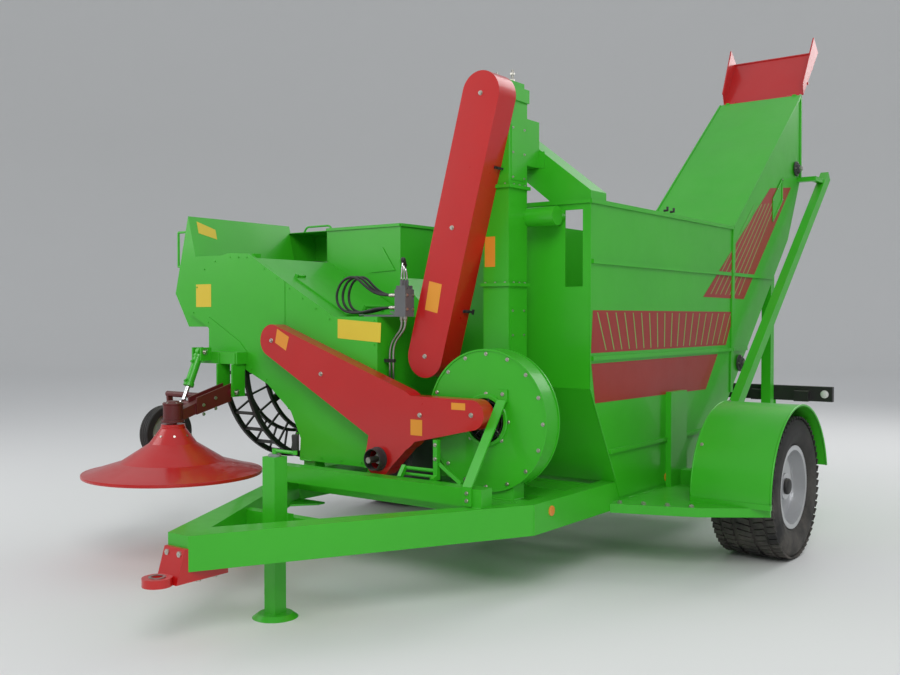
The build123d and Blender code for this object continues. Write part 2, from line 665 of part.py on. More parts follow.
# Blower
def make_blower_case():
    front, rear = BLOWER_Y
    case = rod((BLOWER_X, front, BLOWER_Z), (BLOWER_X, rear, BLOWER_Z), BLOWER_R)
    case += block((BLOWER_X - 180, BLOWER_X + 180), (front + 10, rear - 10),
                  (FRAME_TOP, BLOWER_Z - BLOWER_R + 60))
    case -= rod((BLOWER_X, front + WALL, BLOWER_Z), (BLOWER_X, rear - WALL, BLOWER_Z), BLOWER_R - WALL)
    case -= rod((BLOWER_X, front - 1, BLOWER_Z), (BLOWER_X, front + 2 * WALL, BLOWER_Z), INLET_R)
    case += rod((BLOWER_X, rear - WALL, BLOWER_Z), (BLOWER_X, rear + BEARING_LEN, BLOWER_Z), BEARING_R)
    return case - rod((BLOWER_X, front, BLOWER_Z), (BLOWER_X, rear + 2 * BEARING_LEN, BLOWER_Z), SHAFT_R + RUN)


def make_blower_rotor():
    front, rear = BLOWER_Y
    middle = (front + rear) / 2
    rotor = rod((BLOWER_X, PANEL_Y - 60, BLOWER_Z), (BLOWER_X, rear + BEARING_LEN + 15, BLOWER_Z), SHAFT_R)
    blades = [rod((BLOWER_X, middle - 45, BLOWER_Z), (BLOWER_X, middle + 45, BLOWER_Z), 70)]
    for k in range(BLADES):
        blade = block((60, BLOWER_R - 25), (-40, 40), (-3, 3))
        blades.append(Pos(BLOWER_X, middle, BLOWER_Z) * Rot(0, 360 / BLADES * k, 0) * blade)
    return rotor + blades


nodes["blower_case"] = make_blower_case()
nodes["blower_rotor"] = make_blower_rotor()


# Power input
def make_gearbox():
    front = PANEL_Y + PANEL_DEPTH
    middle = PTO_X + BOX_SIDE / 2 - 85
    box = block((middle - BOX_SIDE / 2, middle + BOX_SIDE / 2), (front, front + 290),
                (FRAME_TOP, FRAME_TOP + BOX_SIDE + 60))
    return box - rod((PTO_X, front - 10, PTO_Z), (PTO_X, front + 80, PTO_Z), PTO_THICK_R + RUN)


def make_pto_shaft():
    front = PANEL_Y - GUARD_DEPTH
    stub = rod((PTO_X, front - PTO_OUT, PTO_Z), (PTO_X, front + 1, PTO_Z), PTO_R)
    return stub + rod((PTO_X, front, PTO_Z), (PTO_X, PANEL_Y + PANEL_DEPTH + 75, PTO_Z), PTO_THICK_R)


# Front panel and crusher housing
PANEL_OUTLINE = [
    (-1920, 1590), (-1880, 1790), (-1790, 1920), (-1660, 1985), (-1520, 2010), (-1320, 2000), (-1170, 1915), LID_HIGH,
    LID_LOW, (CRUSH_LEFT, CRUSH_TOP), (CRUSH_LEFT, CRUSH_FLOOR), (-830, CRUSH_FLOOR),
    (-820, 780), (-910, 950), (-1130, 1120), (-1440, 1250), (-1740, 1500),
]


def make_front_panel():
    face = make_face(Polyline(*PANEL_OUTLINE, close=True))
    small = make_face(Polyline(*inset(PANEL_OUTLINE, WALL), close=True))
    return pan(face, small, PANEL_Y, PANEL_Y + PANEL_DEPTH)


CRUSH_Y = (PANEL_Y + PANEL_DEPTH, CRUSH_REAR)
LID_Y = (CRUSH_Y[0] + 95, CRUSH_REAR - 15)


def lid_frame():
    """The lid's plane: origin on its hinge line, local x down the slope, local y along the machine."""
    run = Vector(LID_LOW[0] - LID_HIGH[0], 0, LID_LOW[1] - LID_HIGH[1])
    return Plane(origin=(LID_HIGH[0], 0, LID_HIGH[1]), x_dir=run, z_dir=run.cross(Vector(0, 1, 0))), run.length


def make_crusher():
    outline = [(CRUSH_RIGHT, 1970), LID_HIGH, LID_LOW, (CRUSH_LEFT, CRUSH_TOP), (CRUSH_LEFT, CRUSH_FLOOR),
               (-830, CRUSH_FLOOR), (-820, 780), (-910, 950), (-1130, 1120), (CRUSH_RIGHT, 1180)]
    box = prism_y(outline, CRUSH_Y)
    box -= prism_y(inset(outline, WALL), (CRUSH_Y[0] + WALL, CRUSH_Y[1] - WALL))
    plane, length = lid_frame()
    middle_y = (LID_Y[0] + LID_Y[1]) / 2
    cut_w = LID_Y[1] - LID_Y[0] - 2 * LID_EDGE
    opening = Pos(length / 2, middle_y, 0) * Box(length - 4 * LID_EDGE, cut_w, 6 * WALL)
    box -= plane * opening
    for x in (-770.0, -220.0):
        box += block((x - 50, x + 50), (CRUSH_Y[0], CROSS_MEMBERS[0][1]), (FRAME_TOP, CRUSH_FLOOR))
    for y in (LID_Y[0] + 60, LID_Y[1] - 60):
        for side in (-1, 1):
            ear = Pos(-3, y + side * 37, HINGE_UP / 2 + 5) * Box(26, 8, HINGE_UP + 10)
            box += plane * ear
        box += plane * rod((0, y - 40, HINGE_UP), (0, y + 40, HINGE_UP), HINGE_PIN_R)
    return box


def make_lid():
    plane, length = lid_frame()
    middle_y = (LID_Y[0] + LID_Y[1]) / 2
    sheet_start, sheet_end = HINGE_UP + 3, length - LID_EDGE / 2
    sheet = Pos((sheet_start + sheet_end) / 2, middle_y, LID_T / 2 + SEAT)
    sheet *= Box(sheet_end - sheet_start, LID_Y[1] - LID_Y[0], LID_T)
    handle = Pos(length - 60, middle_y, LID_T + 20) * Box(20, 200, 40)
    handle -= Pos(length - 60, middle_y, LID_T + 12) * Box(40, 160, 24)
    lid = sheet + handle
    for y in (LID_Y[0] + 60, LID_Y[1] - 60):
        lid += Pos(20, y, 10) * Box(40, 54, 5)
        lid += rod((0, y - 27, HINGE_UP), (0, y + 27, HINGE_UP), KNUCKLE_R)
    for y in (LID_Y[0] + 60, LID_Y[1] - 60):
        lid -= rod((0, y - 30, HINGE_UP), (0, y + 30, HINGE_UP), HINGE_PIN_R + RUN)
    return plane * lid


def make_receiving_box():
    outline = [(RECEIVE_RIGHT, RECEIVE_TOP), (RECEIVE_LEFT, RECEIVE_TOP), (RECEIVE_LEFT, 1840),
               (DRUM_X + CASE_R, 1600), (DRUM_X + CASE_R, CASE_LOW), (DRUM_X - CASE_R, CASE_LOW),
               (DRUM_X - CASE_R, 1700), (RECEIVE_RIGHT, 1780)]
    y = (CRUSH_REAR, RECEIVE_REAR)
    box = prism_y(outline, y)
    box -= prism_y(inset(outline, WALL), (y[0] + WALL, y[1] - WALL))
    inner_x = (DRUM_X - CASE_R + WALL, DRUM_X + CASE_R - WALL)
    box -= block((RECEIVE_RIGHT + WALL, RECEIVE_LEFT - WALL), (y[0] + WALL, y[1] - WALL),
                 (RECEIVE_TOP - 10, RECEIVE_TOP + 10))
    box -= block(inner_x, (y[0] + WALL, y[1] - WALL), (CASE_LOW - 10, CASE_LOW + 10))
    box -= rod((DRUM_X, y[1] - 2 * WALL, DRUM_Z), (DRUM_X, y[1] + WALL, DRUM_Z), CASE_R - WALL)
    box -= block((RECEIVE_RIGHT - 10, RECEIVE_RIGHT + 2 * WALL), (y[0] + 40, y[1] - 40),
                 (RECEIVE_LOW_SIDE, RECEIVE_TOP + 10))
    for x in (DRUM_X - 130, DRUM_X + 130):
        box += block((x - 40, x + 40), (y[0], y[0] + 40), (FRAME_TOP, CASE_LOW))
    box += rod((DRUM_X, y[0] + WALL, DRUM_Z), (DRUM_X, y[0] + 45, DRUM_Z), BEARING_R)
    return box - rod((DRUM_X, y[0] + WALL, DRUM_Z), (DRUM_X, y[0] + 50, DRUM_Z), DRUM_SHAFT_R + RUN)


nodes["gearbox"] = make_gearbox()
nodes["pto_shaft"] = make_pto_shaft()
nodes["front_panel"] = make_front_panel()
nodes["crusher"] = make_crusher()
nodes["crusher_lid"] = make_lid()
nodes["receiving_box"] = make_receiving_box()


# Intake hood with its hand hoop
def make_hood():
    """A wall along the outside of the pick-up wheel, open above the wheel, with a roofed pocket behind."""
    y = (PANEL_Y + PANEL_DEPTH, HOOD_REAR)
    low_x, shelf = RECEIVE_RIGHT, HOOD_SHOULDER[1]
    outline = [(low_x, HOOD_LOW), (low_x, shelf), HOOD_SHOULDER, HOOD_RIDGE, HOOD_BULGE, (-1980, HOOD_LOW)]
    hood = prism_y(outline, y)
    hood -= prism_y(inset(outline, HOOD_T), (y[0] + HOOD_T, y[1] - HOOD_T))
    hood -= block((-1970, low_x + 10), (y[0] + HOOD_T, y[1] + 10), (HOOD_LOW - 10, HOOD_LOW + 10))
    inner_x = HOOD_SHOULDER[0] + 20
    hood -= block((inner_x, low_x + 10), (y[1] - 2 * HOOD_T, y[1] + 10), (HOOD_LOW - 10, shelf - HOOD_T))
    hood -= block((low_x - 2 * HOOD_T, low_x + 10), (y[0] + 60, y[1] + 10), (HOOD_LOW - 10, shelf + 10))
    hood -= block((inner_x, low_x + 10), (y[0] + 60, y[1] - 60), (shelf - 2 * HOOD_T, shelf + 10))
    pocket_y = (y[1] - HOOD_T, y[1] + POCKET_DEPTH)
    hood += block((HOOD_RIDGE[0], low_x), pocket_y, (shelf - HOOD_T, POCKET_TOP))
    hood -= block((HOOD_RIDGE[0] + HOOD_T, low_x + 10), (pocket_y[0] - 10, pocket_y[1] - HOOD_T),
                  (shelf, POCKET_TOP - HOOD_T))
    hoop_y, hoop_x = y[0] + 60, HOOD_BULGE[0] - HOOP_OUT
    lean = (HOOD_BULGE[0] - HOOD_RIDGE[0]) / (HOOD_RIDGE[1] - HOOD_BULGE[1])
    low, high = (HOOD_RIDGE[0] + lean * (HOOD_RIDGE[1] - z) + 2 * HOOD_T for z in HOOP_Z)
    corners = [(high, hoop_y, HOOP_Z[1]), (hoop_x, hoop_y, HOOP_Z[1]), (hoop_x, hoop_y, HOOP_Z[0]),
               (low, hoop_y, HOOP_Z[0])]
    hoop = [rod(a, b, HOOP_R) for a, b in zip(corners, corners[1:])]
    hoop += [Pos(*corner) * Sphere(HOOP_R) for corner in corners[1:3]]
    return hood + hoop


# Pick-up wheel on its post
def make_pickup_wheel():
    right, left = PICK_X
    middle = (right + left) / 2
    pieces = []
    for x in (right + PICK_BAR / 2, left - PICK_BAR / 2):
        pieces.append(ring_x(x, PICK_Y, PICK_Z, PICK_R, PICK_R - PICK_RING, PICK_BAR))
        pieces.append(ring_x(x, PICK_Y, PICK_Z, PICK_INNER_R, PICK_INNER_R - PICK_BAR, PICK_BAR))
    for k in range(PICK_BARS):
        turn = Pos(middle, PICK_Y, PICK_Z) * Rot(360 / PICK_BARS * k, 0, 0)
        for x in (right + PICK_BAR / 2 - middle, left - PICK_BAR / 2 - middle):
            pieces.append(turn * block((x - 6, x + 6), (-6, 6), (PICK_INNER_R - 8, PICK_R - PICK_RING + 8)))
        pieces.append(turn * block((right - middle + 6, left - middle - 6), (-6, 6),
                                   (PICK_R - PICK_RING + 4, PICK_R - 8)))
    for k in range(PICK_SPOKES):
        turn = Pos(left - PICK_BAR / 2, PICK_Y, PICK_Z) * Rot(360 / PICK_SPOKES * k, 0, 0)
        pieces.append(turn * block((-10, 10), (-25, 25), (60, PICK_INNER_R - 5)))
    pieces.append(rod((right + 60, PICK_Y, PICK_Z), (left, PICK_Y, PICK_Z), 90))
    shaft = rod((right + 50, PICK_Y, PICK_Z), (POST_X[1] - 2, PICK_Y, PICK_Z), PICK_SHAFT_R)
    return shaft + pieces


def make_pickup_post():
    post = block(POST_X, POST_Y, (FRAME_TOP, PICK_Z + 90))
    post += block((POST_X[1], DRUM_X - CASE_R), (CRUSH_REAR + 10, POST_Y[1] - 10), (1080, 1160))
    bore = rod((POST_X[0] - 5, PICK_Y, PICK_Z), (POST_X[1] + 5, PICK_Y, PICK_Z), PICK_SHAFT_R + RUN)
    return post - bore


# Sieve drum in its casing, over the seed trough
def make_sieve_drum():
    length = DRUM_REAR - DRUM_FRONT
    pieces = []
    for k in range(DRUM_RINGS):
        y = DRUM_FRONT + 20 + (length - 40) / (DRUM_RINGS - 1) * k
        hoop = Cylinder(DRUM_R, 30) - Cylinder(DRUM_R - 20, 30)
        pieces.append(Pos(DRUM_X, y, DRUM_Z) * Rot(90, 0, 0) * hoop)
    for k in range(DRUM_BARS):
        turn = Pos(DRUM_X, 0, DRUM_Z) * Rot(0, 360 / DRUM_BARS * k, 0)
        pieces.append(turn * block((DRUM_R - 19, DRUM_R - 5), (DRUM_FRONT + 5, DRUM_REAR - 5), (-7, 7)))
    for y in (DRUM_FRONT + 20, DRUM_REAR - 20):
        for k in range(3):
            turn = Pos(DRUM_X, y, DRUM_Z) * Rot(0, 60 * k, 0)
            pieces.append(turn * block((-DRUM_R + 8, DRUM_R - 8), (-12, 12), (-20, 20)))
    shaft = rod((DRUM_X, CRUSH_REAR + WALL + 3, DRUM_Z), (DRUM_X, CASE_REAR + 10, DRUM_Z), DRUM_SHAFT_R)
    return shaft + pieces


def case_face(radius, low):
    """The casing's section: a half circle on two straight sides."""
    face = Pos(DRUM_X, DRUM_Z) * Circle(radius)
    face += Pos(DRUM_X, (DRUM_Z + low) / 2) * Rectangle(2 * radius, DRUM_Z - low)
    return face - Pos(DRUM_X, low - radius) * Rectangle(3 * radius, 2 * radius)


def make_drum_case():
    length = CASE_REAR - RECEIVE_REAR
    case = Pos(0, CASE_REAR, 0) * extrude(Plane.XZ * case_face(CASE_R, CASE_LOW), amount=length)
    hollow = extrude(Plane.XZ * case_face(CASE_R - WALL, CASE_LOW - 50), amount=length)
    case -= Pos(0, CASE_REAR - WALL, 0) * hollow
    for x in (DRUM_X - 130, DRUM_X + 130):
        case += block((x - 40, x + 40), (CASE_REAR - 40, CASE_REAR), (FRAME_TOP, CASE_LOW))
    case += block((DRUM_X - CASE_R, DRUM_X + CASE_R), (CASE_REAR - WALL, CASE_REAR), (CASE_LOW - 60, CASE_LOW))
    case += rod((DRUM_X, CASE_REAR - 25, DRUM_Z), (DRUM_X, CASE_REAR, DRUM_Z), BEARING_R)
    return case - rod((DRUM_X, CASE_REAR - 60, DRUM_Z), (DRUM_X, CASE_REAR + 20, DRUM_Z), DRUM_SHAFT_R + RUN)


def make_seed_trough():
    rise = TROUGH_TOP - FRAME_TOP
    slope = (TROUGH_HALF - TROUGH_FLAT) / rise
    lip = WALL * math.sqrt(1 + slope ** 2)
    floor_half = TROUGH_FLAT - lip + slope * WALL
    outline = [(DRUM_X - TROUGH_HALF, TROUGH_TOP), (DRUM_X - TROUGH_FLAT, FRAME_TOP),
               (DRUM_X + TROUGH_FLAT, FRAME_TOP), (DRUM_X + TROUGH_HALF, TROUGH_TOP),
               (DRUM_X + TROUGH_HALF - lip, TROUGH_TOP), (DRUM_X + floor_half, FRAME_TOP + WALL),
               (DRUM_X - floor_half, FRAME_TOP + WALL), (DRUM_X - TROUGH_HALF + lip, TROUGH_TOP)]
    return prism_y(outline, (CRUSH_REAR + 45, CASE_REAR - 45))


nodes["hood"] = make_hood()
nodes["pickup_wheel"] = make_pickup_wheel()
nodes["pickup_post"] = make_pickup_post()
nodes["sieve_drum"] = make_sieve_drum()
nodes["drum_case"] = make_drum_case()
nodes["seed_trough"] = make_seed_trough()


# Gathering unit
def make_gather_bracket():
    front = PANEL_Y - GUARD_DEPTH + 10
    beam_z = (1250.0, 1330.0)
    bracket = block((-1720, -1330), (front, PANEL_Y - WALL), beam_z)
    gusset = [(-1720, beam_z[0]), (-1330, beam_z[0]), (-1330, beam_z[1]), (-1400, 1400), (-1720, 1570)]
    bracket += prism_y(gusset, (PANEL_Y - WALL, PANEL_Y))
    for side in (-1, 1):
        x = DISC_X + side * EAR_OFFSET
        bracket += block((x - EAR_T / 2, x + EAR_T / 2), (ARM_PIVOT[0] - 30, PANEL_Y - WALL),
                         (ARM_PIVOT[1] - 30, beam_z[0]))
        x = LIFT_X + side * (LIFT_R + EAR_T / 2 + 5)
        bracket += block((x - EAR_T / 2, x + EAR_T / 2), (LIFT_TOP[0] - 30, front), (beam_z[0] + 20, LIFT_TOP[1] + 30))
    reach = EAR_OFFSET + EAR_T
    bracket += rod((DISC_X - reach, *ARM_PIVOT), (DISC_X + reach, *ARM_PIVOT), PIN_R)
    half = LIFT_R + EAR_T + 7
    return bracket + rod((LIFT_X - half, *LIFT_TOP), (LIFT_X + half, *LIFT_TOP), PIN_R)


def make_gather_arm():
    pivot = (DISC_X, *ARM_PIVOT)
    head_z = DISC_TOP_Z + 12
    tip = (DISC_X, DISC_Y + 20, head_z + 35)
    reach = EAR_OFFSET - EAR_T / 2 - 2
    boss = rod((DISC_X - reach, *ARM_PIVOT), (DISC_X + reach, *ARM_PIVOT), 32)
    arm = boss + beam(pivot, tip, 70, 70)
    plate = [(ARM_PIVOT[0] - 10, ARM_PIVOT[1] + 60), (ARM_PIVOT[0] - 300, ARM_PIVOT[1] - 20),
             (ARM_PIVOT[0] - 300, ARM_PIVOT[1] - 130), (ARM_PIVOT[0] - 10, ARM_PIVOT[1] - 60)]
    for side in (-1, 1):
        x = DISC_X + side * 41
        arm += prism_x(plate, (x - 6, x + 6))
    arm += rod((DISC_X, DISC_Y, head_z), (DISC_X, DISC_Y, head_z + 110), 62)
    arm += rod((DISC_X, *LIFT_EYE), (LIFT_X + LIFT_EYE_W / 2 + 4, *LIFT_EYE), 22)
    arm += rod((DISC_X, *LIFT_EYE), (LIFT_X - LIFT_EYE_W / 2 - 15, *LIFT_EYE), PIN_R)
    bar_y, bar_z = ARM_PIVOT[0] - 95, ARM_PIVOT[1] - 30
    side_x = GAUGE_X + GAUGE_W / 2 + 20
    arm += rod((DISC_X, bar_y, bar_z), (side_x - 20, bar_y, bar_z), 20)
    arm += beam((side_x, bar_y, bar_z), (side_x, GAUGE_Y, GAUGE_Z), 40, 20, flat=(1, 0, 0))
    arm += rod((side_x + 10, GAUGE_Y, GAUGE_Z), (GAUGE_X - GAUGE_W / 2 - 10, GAUGE_Y, GAUGE_Z), PIN_R + 3)
    arm -= rod((DISC_X - 200, *ARM_PIVOT), (DISC_X + 200, *ARM_PIVOT), PIN_R + RUN)
    return arm - rod((DISC_X, DISC_Y, head_z - 5), (DISC_X, DISC_Y, head_z + 85), DISC_SHAFT_R + RUN)


def make_gather_disc():
    """A hollow cone with curved sides, turned about its upright shaft."""
    thick = 6.0
    outer = [(DISC_R, DISC_RIM_Z), (DISC_R, DISC_RIM_Z + 16), (330, 645), (150, 760), (DISC_NECK_R, DISC_TOP_Z - 20),
             (DISC_NECK_R, DISC_TOP_Z)]
    inner = [(0, DISC_TOP_Z), (0, DISC_TOP_Z - 14), (DISC_NECK_R - thick, DISC_TOP_Z - 22), (142, 754),
             (325, 638), (DISC_R - thick, DISC_RIM_Z + 10), (DISC_R - thick, DISC_RIM_Z)]
    shell = revolve(Plane.XZ * make_face(Polyline(*outer, *inner, close=True)), axis=Axis.Z)
    disc = shell + rod((0, 0, DISC_TOP_Z - 15), (0, 0, DISC_TOP_Z + 90), DISC_SHAFT_R)
    return Pos(DISC_X, DISC_Y, 0) * disc


def make_gauge_wheel():
    tyre = ring_x(GAUGE_X, GAUGE_Y, GAUGE_Z, GAUGE_R, GAUGE_R - 45, GAUGE_W)
    tyre += ring_x(GAUGE_X, GAUGE_Y, GAUGE_Z, GAUGE_R - 44, 25, 16)
    return tyre + ring_x(GAUGE_X, GAUGE_Y, GAUGE_Z, 34, PIN_R + 3 + RUN, GAUGE_W)


def lift_line():
    a, b = Vector(LIFT_X, *LIFT_TOP), Vector(LIFT_X, *LIFT_EYE)
    return a, b, (b - a).normalized(), (b - a).length


def make_lift_barrel():
    a, b, run, length = lift_line()
    half = LIFT_EYE_W / 2
    barrel = rod(tuple(a + run * 26), tuple(a + run * LIFT_BARREL_LEN), LIFT_R)
    barrel += rod((LIFT_X - half, *LIFT_TOP), (LIFT_X + half, *LIFT_TOP), LIFT_EYE_R)
    barrel -= rod(tuple(a + run * 95), tuple(a + run * (LIFT_BARREL_LEN + 5)), LIFT_ROD_R + RUN)
    return barrel - rod((LIFT_X - 80, *LIFT_TOP), (LIFT_X + 80, *LIFT_TOP), PIN_R + RUN)


def make_lift_rod():
    a, b, run, length = lift_line()
    half = LIFT_EYE_W / 2
    bar = rod(tuple(a + run * 120), tuple(b - run * 20), LIFT_ROD_R)
    bar += rod((LIFT_X - half, *LIFT_EYE), (LIFT_X + half, *LIFT_EYE), LIFT_EYE_R)
    return bar - rod((LIFT_X - 80, *LIFT_EYE), (LIFT_X + 80, *LIFT_EYE), LIFT_EYE_BORE)


nodes["gather_bracket"] = make_gather_bracket()
nodes["gather_arm"] = make_gather_arm()
nodes["gather_disc"] = make_gather_disc()
nodes["gauge_wheel"] = make_gauge_wheel()
nodes["lift_barrel"] = make_lift_barrel()
nodes["lift_rod"] = make_lift_rod()


# Hydraulic valve block with its stand, and the hose loops beside it
def make_valve_block():
    stand = block((-300, VALVE_X[1]), VALVE_Y, (CRUSH_TOP, CRUSH_TOP + PLATE))
    stand += block(VALVE_X, VALVE_Y, (CRUSH_TOP + PLATE, VALVE_TOP))
    for k in range(HOSE_COUNT):
        y = HOSE_Y + HOSE_PITCH * k
        stand += rod((HOSE_ROUTE[0][0], y, HOSE_ROUTE[0][1]), (VALVE_X[0] + 1, y, HOSE_ROUTE[0][1]), HOSE_R + 2)
        stand += rod((HOSE_ROUTE[-1][0], y, HOSE_ROUTE[-1][1]), (VALVE_X[0] + 1, y, HOSE_ROUTE[-1][1]), HOSE_R + 2)
    return stand


def make_hose(k):
    """A loop of hose from the upper port to the lower one; each loop reaches a little less far."""
    reach = 1 - 0.06 * k
    start_x = HOSE_ROUTE[0][0]
    points = [(start_x + (x - start_x) * reach, HOSE_Y + HOSE_PITCH * k, z) for x, z in HOSE_ROUTE]
    radii = []
    for a, b, c in zip(points, points[1:], points[2:]):
        before, after = Vector(*b) - Vector(*a), Vector(*c) - Vector(*b)
        turn = math.radians(before.get_angle(after))
        radii.append(0.45 * min(before.length, after.length) / math.tan(turn / 2))
    print(f"hose {k + 1} bend radii:", [round(r) for r in radii])
    path = FilletPolyline(*points, radius=radii)
    run = Vector(*points[1]) - Vector(*points[0])
    return sweep(Plane(origin=points[0], z_dir=run) * Circle(HOSE_R), path=path), path.length


nodes["valve_block"] = make_valve_block()
for k in range(HOSE_COUNT):
    tube, length = make_hose(k)
    nodes[f"hose_{k + 1}"] = tube
    print(f"hose {k + 1}: length {length:.0f}, volume share {tube.volume / (length * math.pi * HOSE_R ** 2):.4f}")

offset_to_eye = Pos(0, -EYE_Y, -EYE_Z)
os.makedirs("parts", exist_ok=True)
for name, shape in nodes.items():
    export_step(offset_to_eye * shape, f"parts/{name}.step")
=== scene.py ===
# %% [markdown]
# # A trailed pumpkin harvester
# The machine is towed along windrows of ripe pumpkins. A low cone sweeps them in, a wire wheel lifts them
# into a hood, rollers crush them, a sieve drum parts the seeds, and a tall elevator empties the tank.
# The welded and turned pieces come from the solid model. This script gives them their finishes and adds
# what a solid model leaves out: tread, fasteners, hoses with their fittings, stripes, lamps and weld seams.

# %% Load the solid pieces
import json
from math import cos, pi, radians, sin

import bmesh
import bpy
from mathutils import Matrix, Vector


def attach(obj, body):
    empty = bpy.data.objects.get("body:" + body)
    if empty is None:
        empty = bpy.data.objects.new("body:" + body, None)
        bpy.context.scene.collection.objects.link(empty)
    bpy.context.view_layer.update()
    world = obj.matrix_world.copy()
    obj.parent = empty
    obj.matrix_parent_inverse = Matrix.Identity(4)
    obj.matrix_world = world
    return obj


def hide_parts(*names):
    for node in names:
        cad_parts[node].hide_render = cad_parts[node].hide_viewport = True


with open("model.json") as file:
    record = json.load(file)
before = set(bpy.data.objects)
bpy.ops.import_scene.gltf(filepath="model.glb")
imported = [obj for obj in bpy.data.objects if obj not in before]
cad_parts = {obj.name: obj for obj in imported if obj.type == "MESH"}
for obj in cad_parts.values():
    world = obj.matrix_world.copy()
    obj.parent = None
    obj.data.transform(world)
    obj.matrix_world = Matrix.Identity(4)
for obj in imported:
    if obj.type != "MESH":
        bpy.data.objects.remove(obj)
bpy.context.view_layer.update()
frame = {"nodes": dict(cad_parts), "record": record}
nodes = frame["nodes"]

# %% [markdown]
# ## Two ways to say where something is
# The machine was measured from the ground under its axle, in millimetres: x to its left, y to its rear, z up.
# The scene's origin is the tow eye. `at` turns the first into the second, so that every number below can be
# read off a tape measure.

# %% Places
EYE_Y, EYE_Z = -3640.0, 340.0
FLOOR_Z = -EYE_Z / 1000.0
scene = bpy.context.scene


def at(x, y, z):
    return Vector((x, y - EYE_Y, z - EYE_Z)) / 1000.0


def placed(name, data):
    """An object in the scene, at the origin."""
    made = bpy.data.objects.new(name, data)
    scene.collection.objects.link(made)
    return made

# %% [markdown]
# ## Studio
# The photograph was taken from the machine's front left, at a standing person's eye level. The camera stands
# at that point, and a longer lens fills the picture with the machine. A pale floor that turns up into a
# backdrop hides the horizon. Broad lamps give the soft shadows of a cloudy day, which is how the photograph
# was lit, and glossy paint needs something broad to reflect.

# %% Camera
camera_data = bpy.data.cameras.new("camera")
camera_data.lens, camera_data.sensor_width = 40.0, 36.0
camera_data.clip_end = 200.0
camera = placed("camera", camera_data)
camera.location = at(3850, -6520, 1560)
camera.rotation_euler = (radians(88.9), 0.0, radians(36.8))
scene.camera = camera
print("camera at", [round(v, 3) for v in camera.location])

# %% Lamps and world
scene.view_settings.view_transform = "Standard"
world = bpy.data.worlds.new("studio")
scene.world = world
world.use_nodes = True
sky = world.node_tree.nodes["Background"]
sky.inputs["Color"].default_value = (0.92, 0.95, 1.0, 1.0)
sky.inputs["Strength"].default_value = 0.55

# name, place, aimed at, side length in metres, watts
LAMPS = (
    ("key", (6.5, -5.5, 7.5), (0.0, 2.5, 0.8), 5.0, 520.0),
    ("fill", (-7.5, -3.0, 5.0), (0.0, 3.0, 0.8), 6.0, 210.0),
    ("back", (2.0, 11.0, 7.0), (0.0, 3.5, 1.5), 6.0, 280.0),
)
for name, place, aim, side, watts in LAMPS:
    light = bpy.data.lights.new(name, "AREA")
    light.size, light.energy = side, watts
    lamp = placed(name, light)
    lamp.location = place
    lamp.rotation_euler = (Vector(place) - Vector(aim)).to_track_quat("Z", "Y").to_euler()
print(len(LAMPS), "lamps")

# %% [markdown]
# ## Building finishes from small effects
# A node group is Blender's way to name an effect and use it in many materials. Four effects cover the whole
# machine: slow variation of tone, edges worn by handling, dust that settles on what faces up, and the fine
# texture of the surface itself. All of them read Object coordinates, so a pattern stays on its piece.

# %% Node helpers
def new_tree(name, kind="ShaderNodeTree", output="Mask", output_kind="Float", **inputs):
    """A node tree with named sockets; an input is given by its usual value, or by its kind in words."""
    tree = bpy.data.node_groups.new(name, kind)
    for key, usual in inputs.items():
        in_words = isinstance(usual, str)
        socket = tree.interface.new_socket(key.replace("_", " "), in_out="INPUT",
                                           socket_type="NodeSocket" + (usual if in_words else "Float"))
        if not in_words:
            socket.default_value = usual
    tree.interface.new_socket(output, in_out="OUTPUT", socket_type="NodeSocket" + output_kind)
    return tree, tree.nodes.new("NodeGroupInput"), tree.nodes.new("NodeGroupOutput")


def give(tree, taker, source, socket="Mask"):
    """A link from a source, which is (node, output), to a socket of the taker."""
    tree.links.new(source[0].outputs[source[1]], taker.inputs[socket])


def node(tree, kind, settings=None, **values):
    """A node with its properties in settings and its inputs in values, each a value or a source.
    A short kind means a shader node."""
    made = tree.nodes.new(kind if "Node" in kind else "ShaderNode" + kind)
    for key, value in (settings or {}).items():
        setattr(made, key, value)
    for key, value in values.items():
        socket = int(key[1:]) if key[1:].isdigit() else key.replace("_", " ")
        if isinstance(value, tuple) and isinstance(value[0], bpy.types.Node):
            give(tree, made, value, socket)
        else:
            made.inputs[socket].default_value = value
    return made


def calc(tree, operation, a, b, clamp=False):
    """Arithmetic on two values, as a source."""
    return node(tree, "Math", {"operation": operation, "use_clamp": clamp}, i0=a, i1=b), 0


def noise(tree, scale, detail, roughness=0.5):
    """Noise in the piece's own coordinates, as a source."""
    place = (node(tree, "TexCoord"), "Object")
    return node(tree, "TexNoise", Vector=place, Scale=scale, Detail=detail, Roughness=roughness), "Fac"


def ramp(tree, value, low, high, **ends):
    """A value between low and high brought to 0 to 1, or to the ends, as a source."""
    return node(tree, "MapRange", Value=value, From_Min=low, From_Max=high, **ends), "Result"


def hand_out(tree, given, result, mask, patch):
    """The last step of an effect: its mask, broken into patches, times its Amount."""
    both = calc(tree, "MULTIPLY", mask, patch)
    give(tree, result, calc(tree, "MULTIPLY", both, (given, "Amount"), clamp=True))

# %% Effect: slow variation of tone
tree, given, result = new_tree("tone variation", Scale=1.5, Contrast=1.0)
centred = calc(tree, "SUBTRACT", noise(tree, (given, "Scale"), 6.0, 0.6), 0.5)
spread = calc(tree, "MULTIPLY", centred, (given, "Contrast"))
give(tree, result, calc(tree, "ADD", spread, 0.5, clamp=True))
variation_group = tree

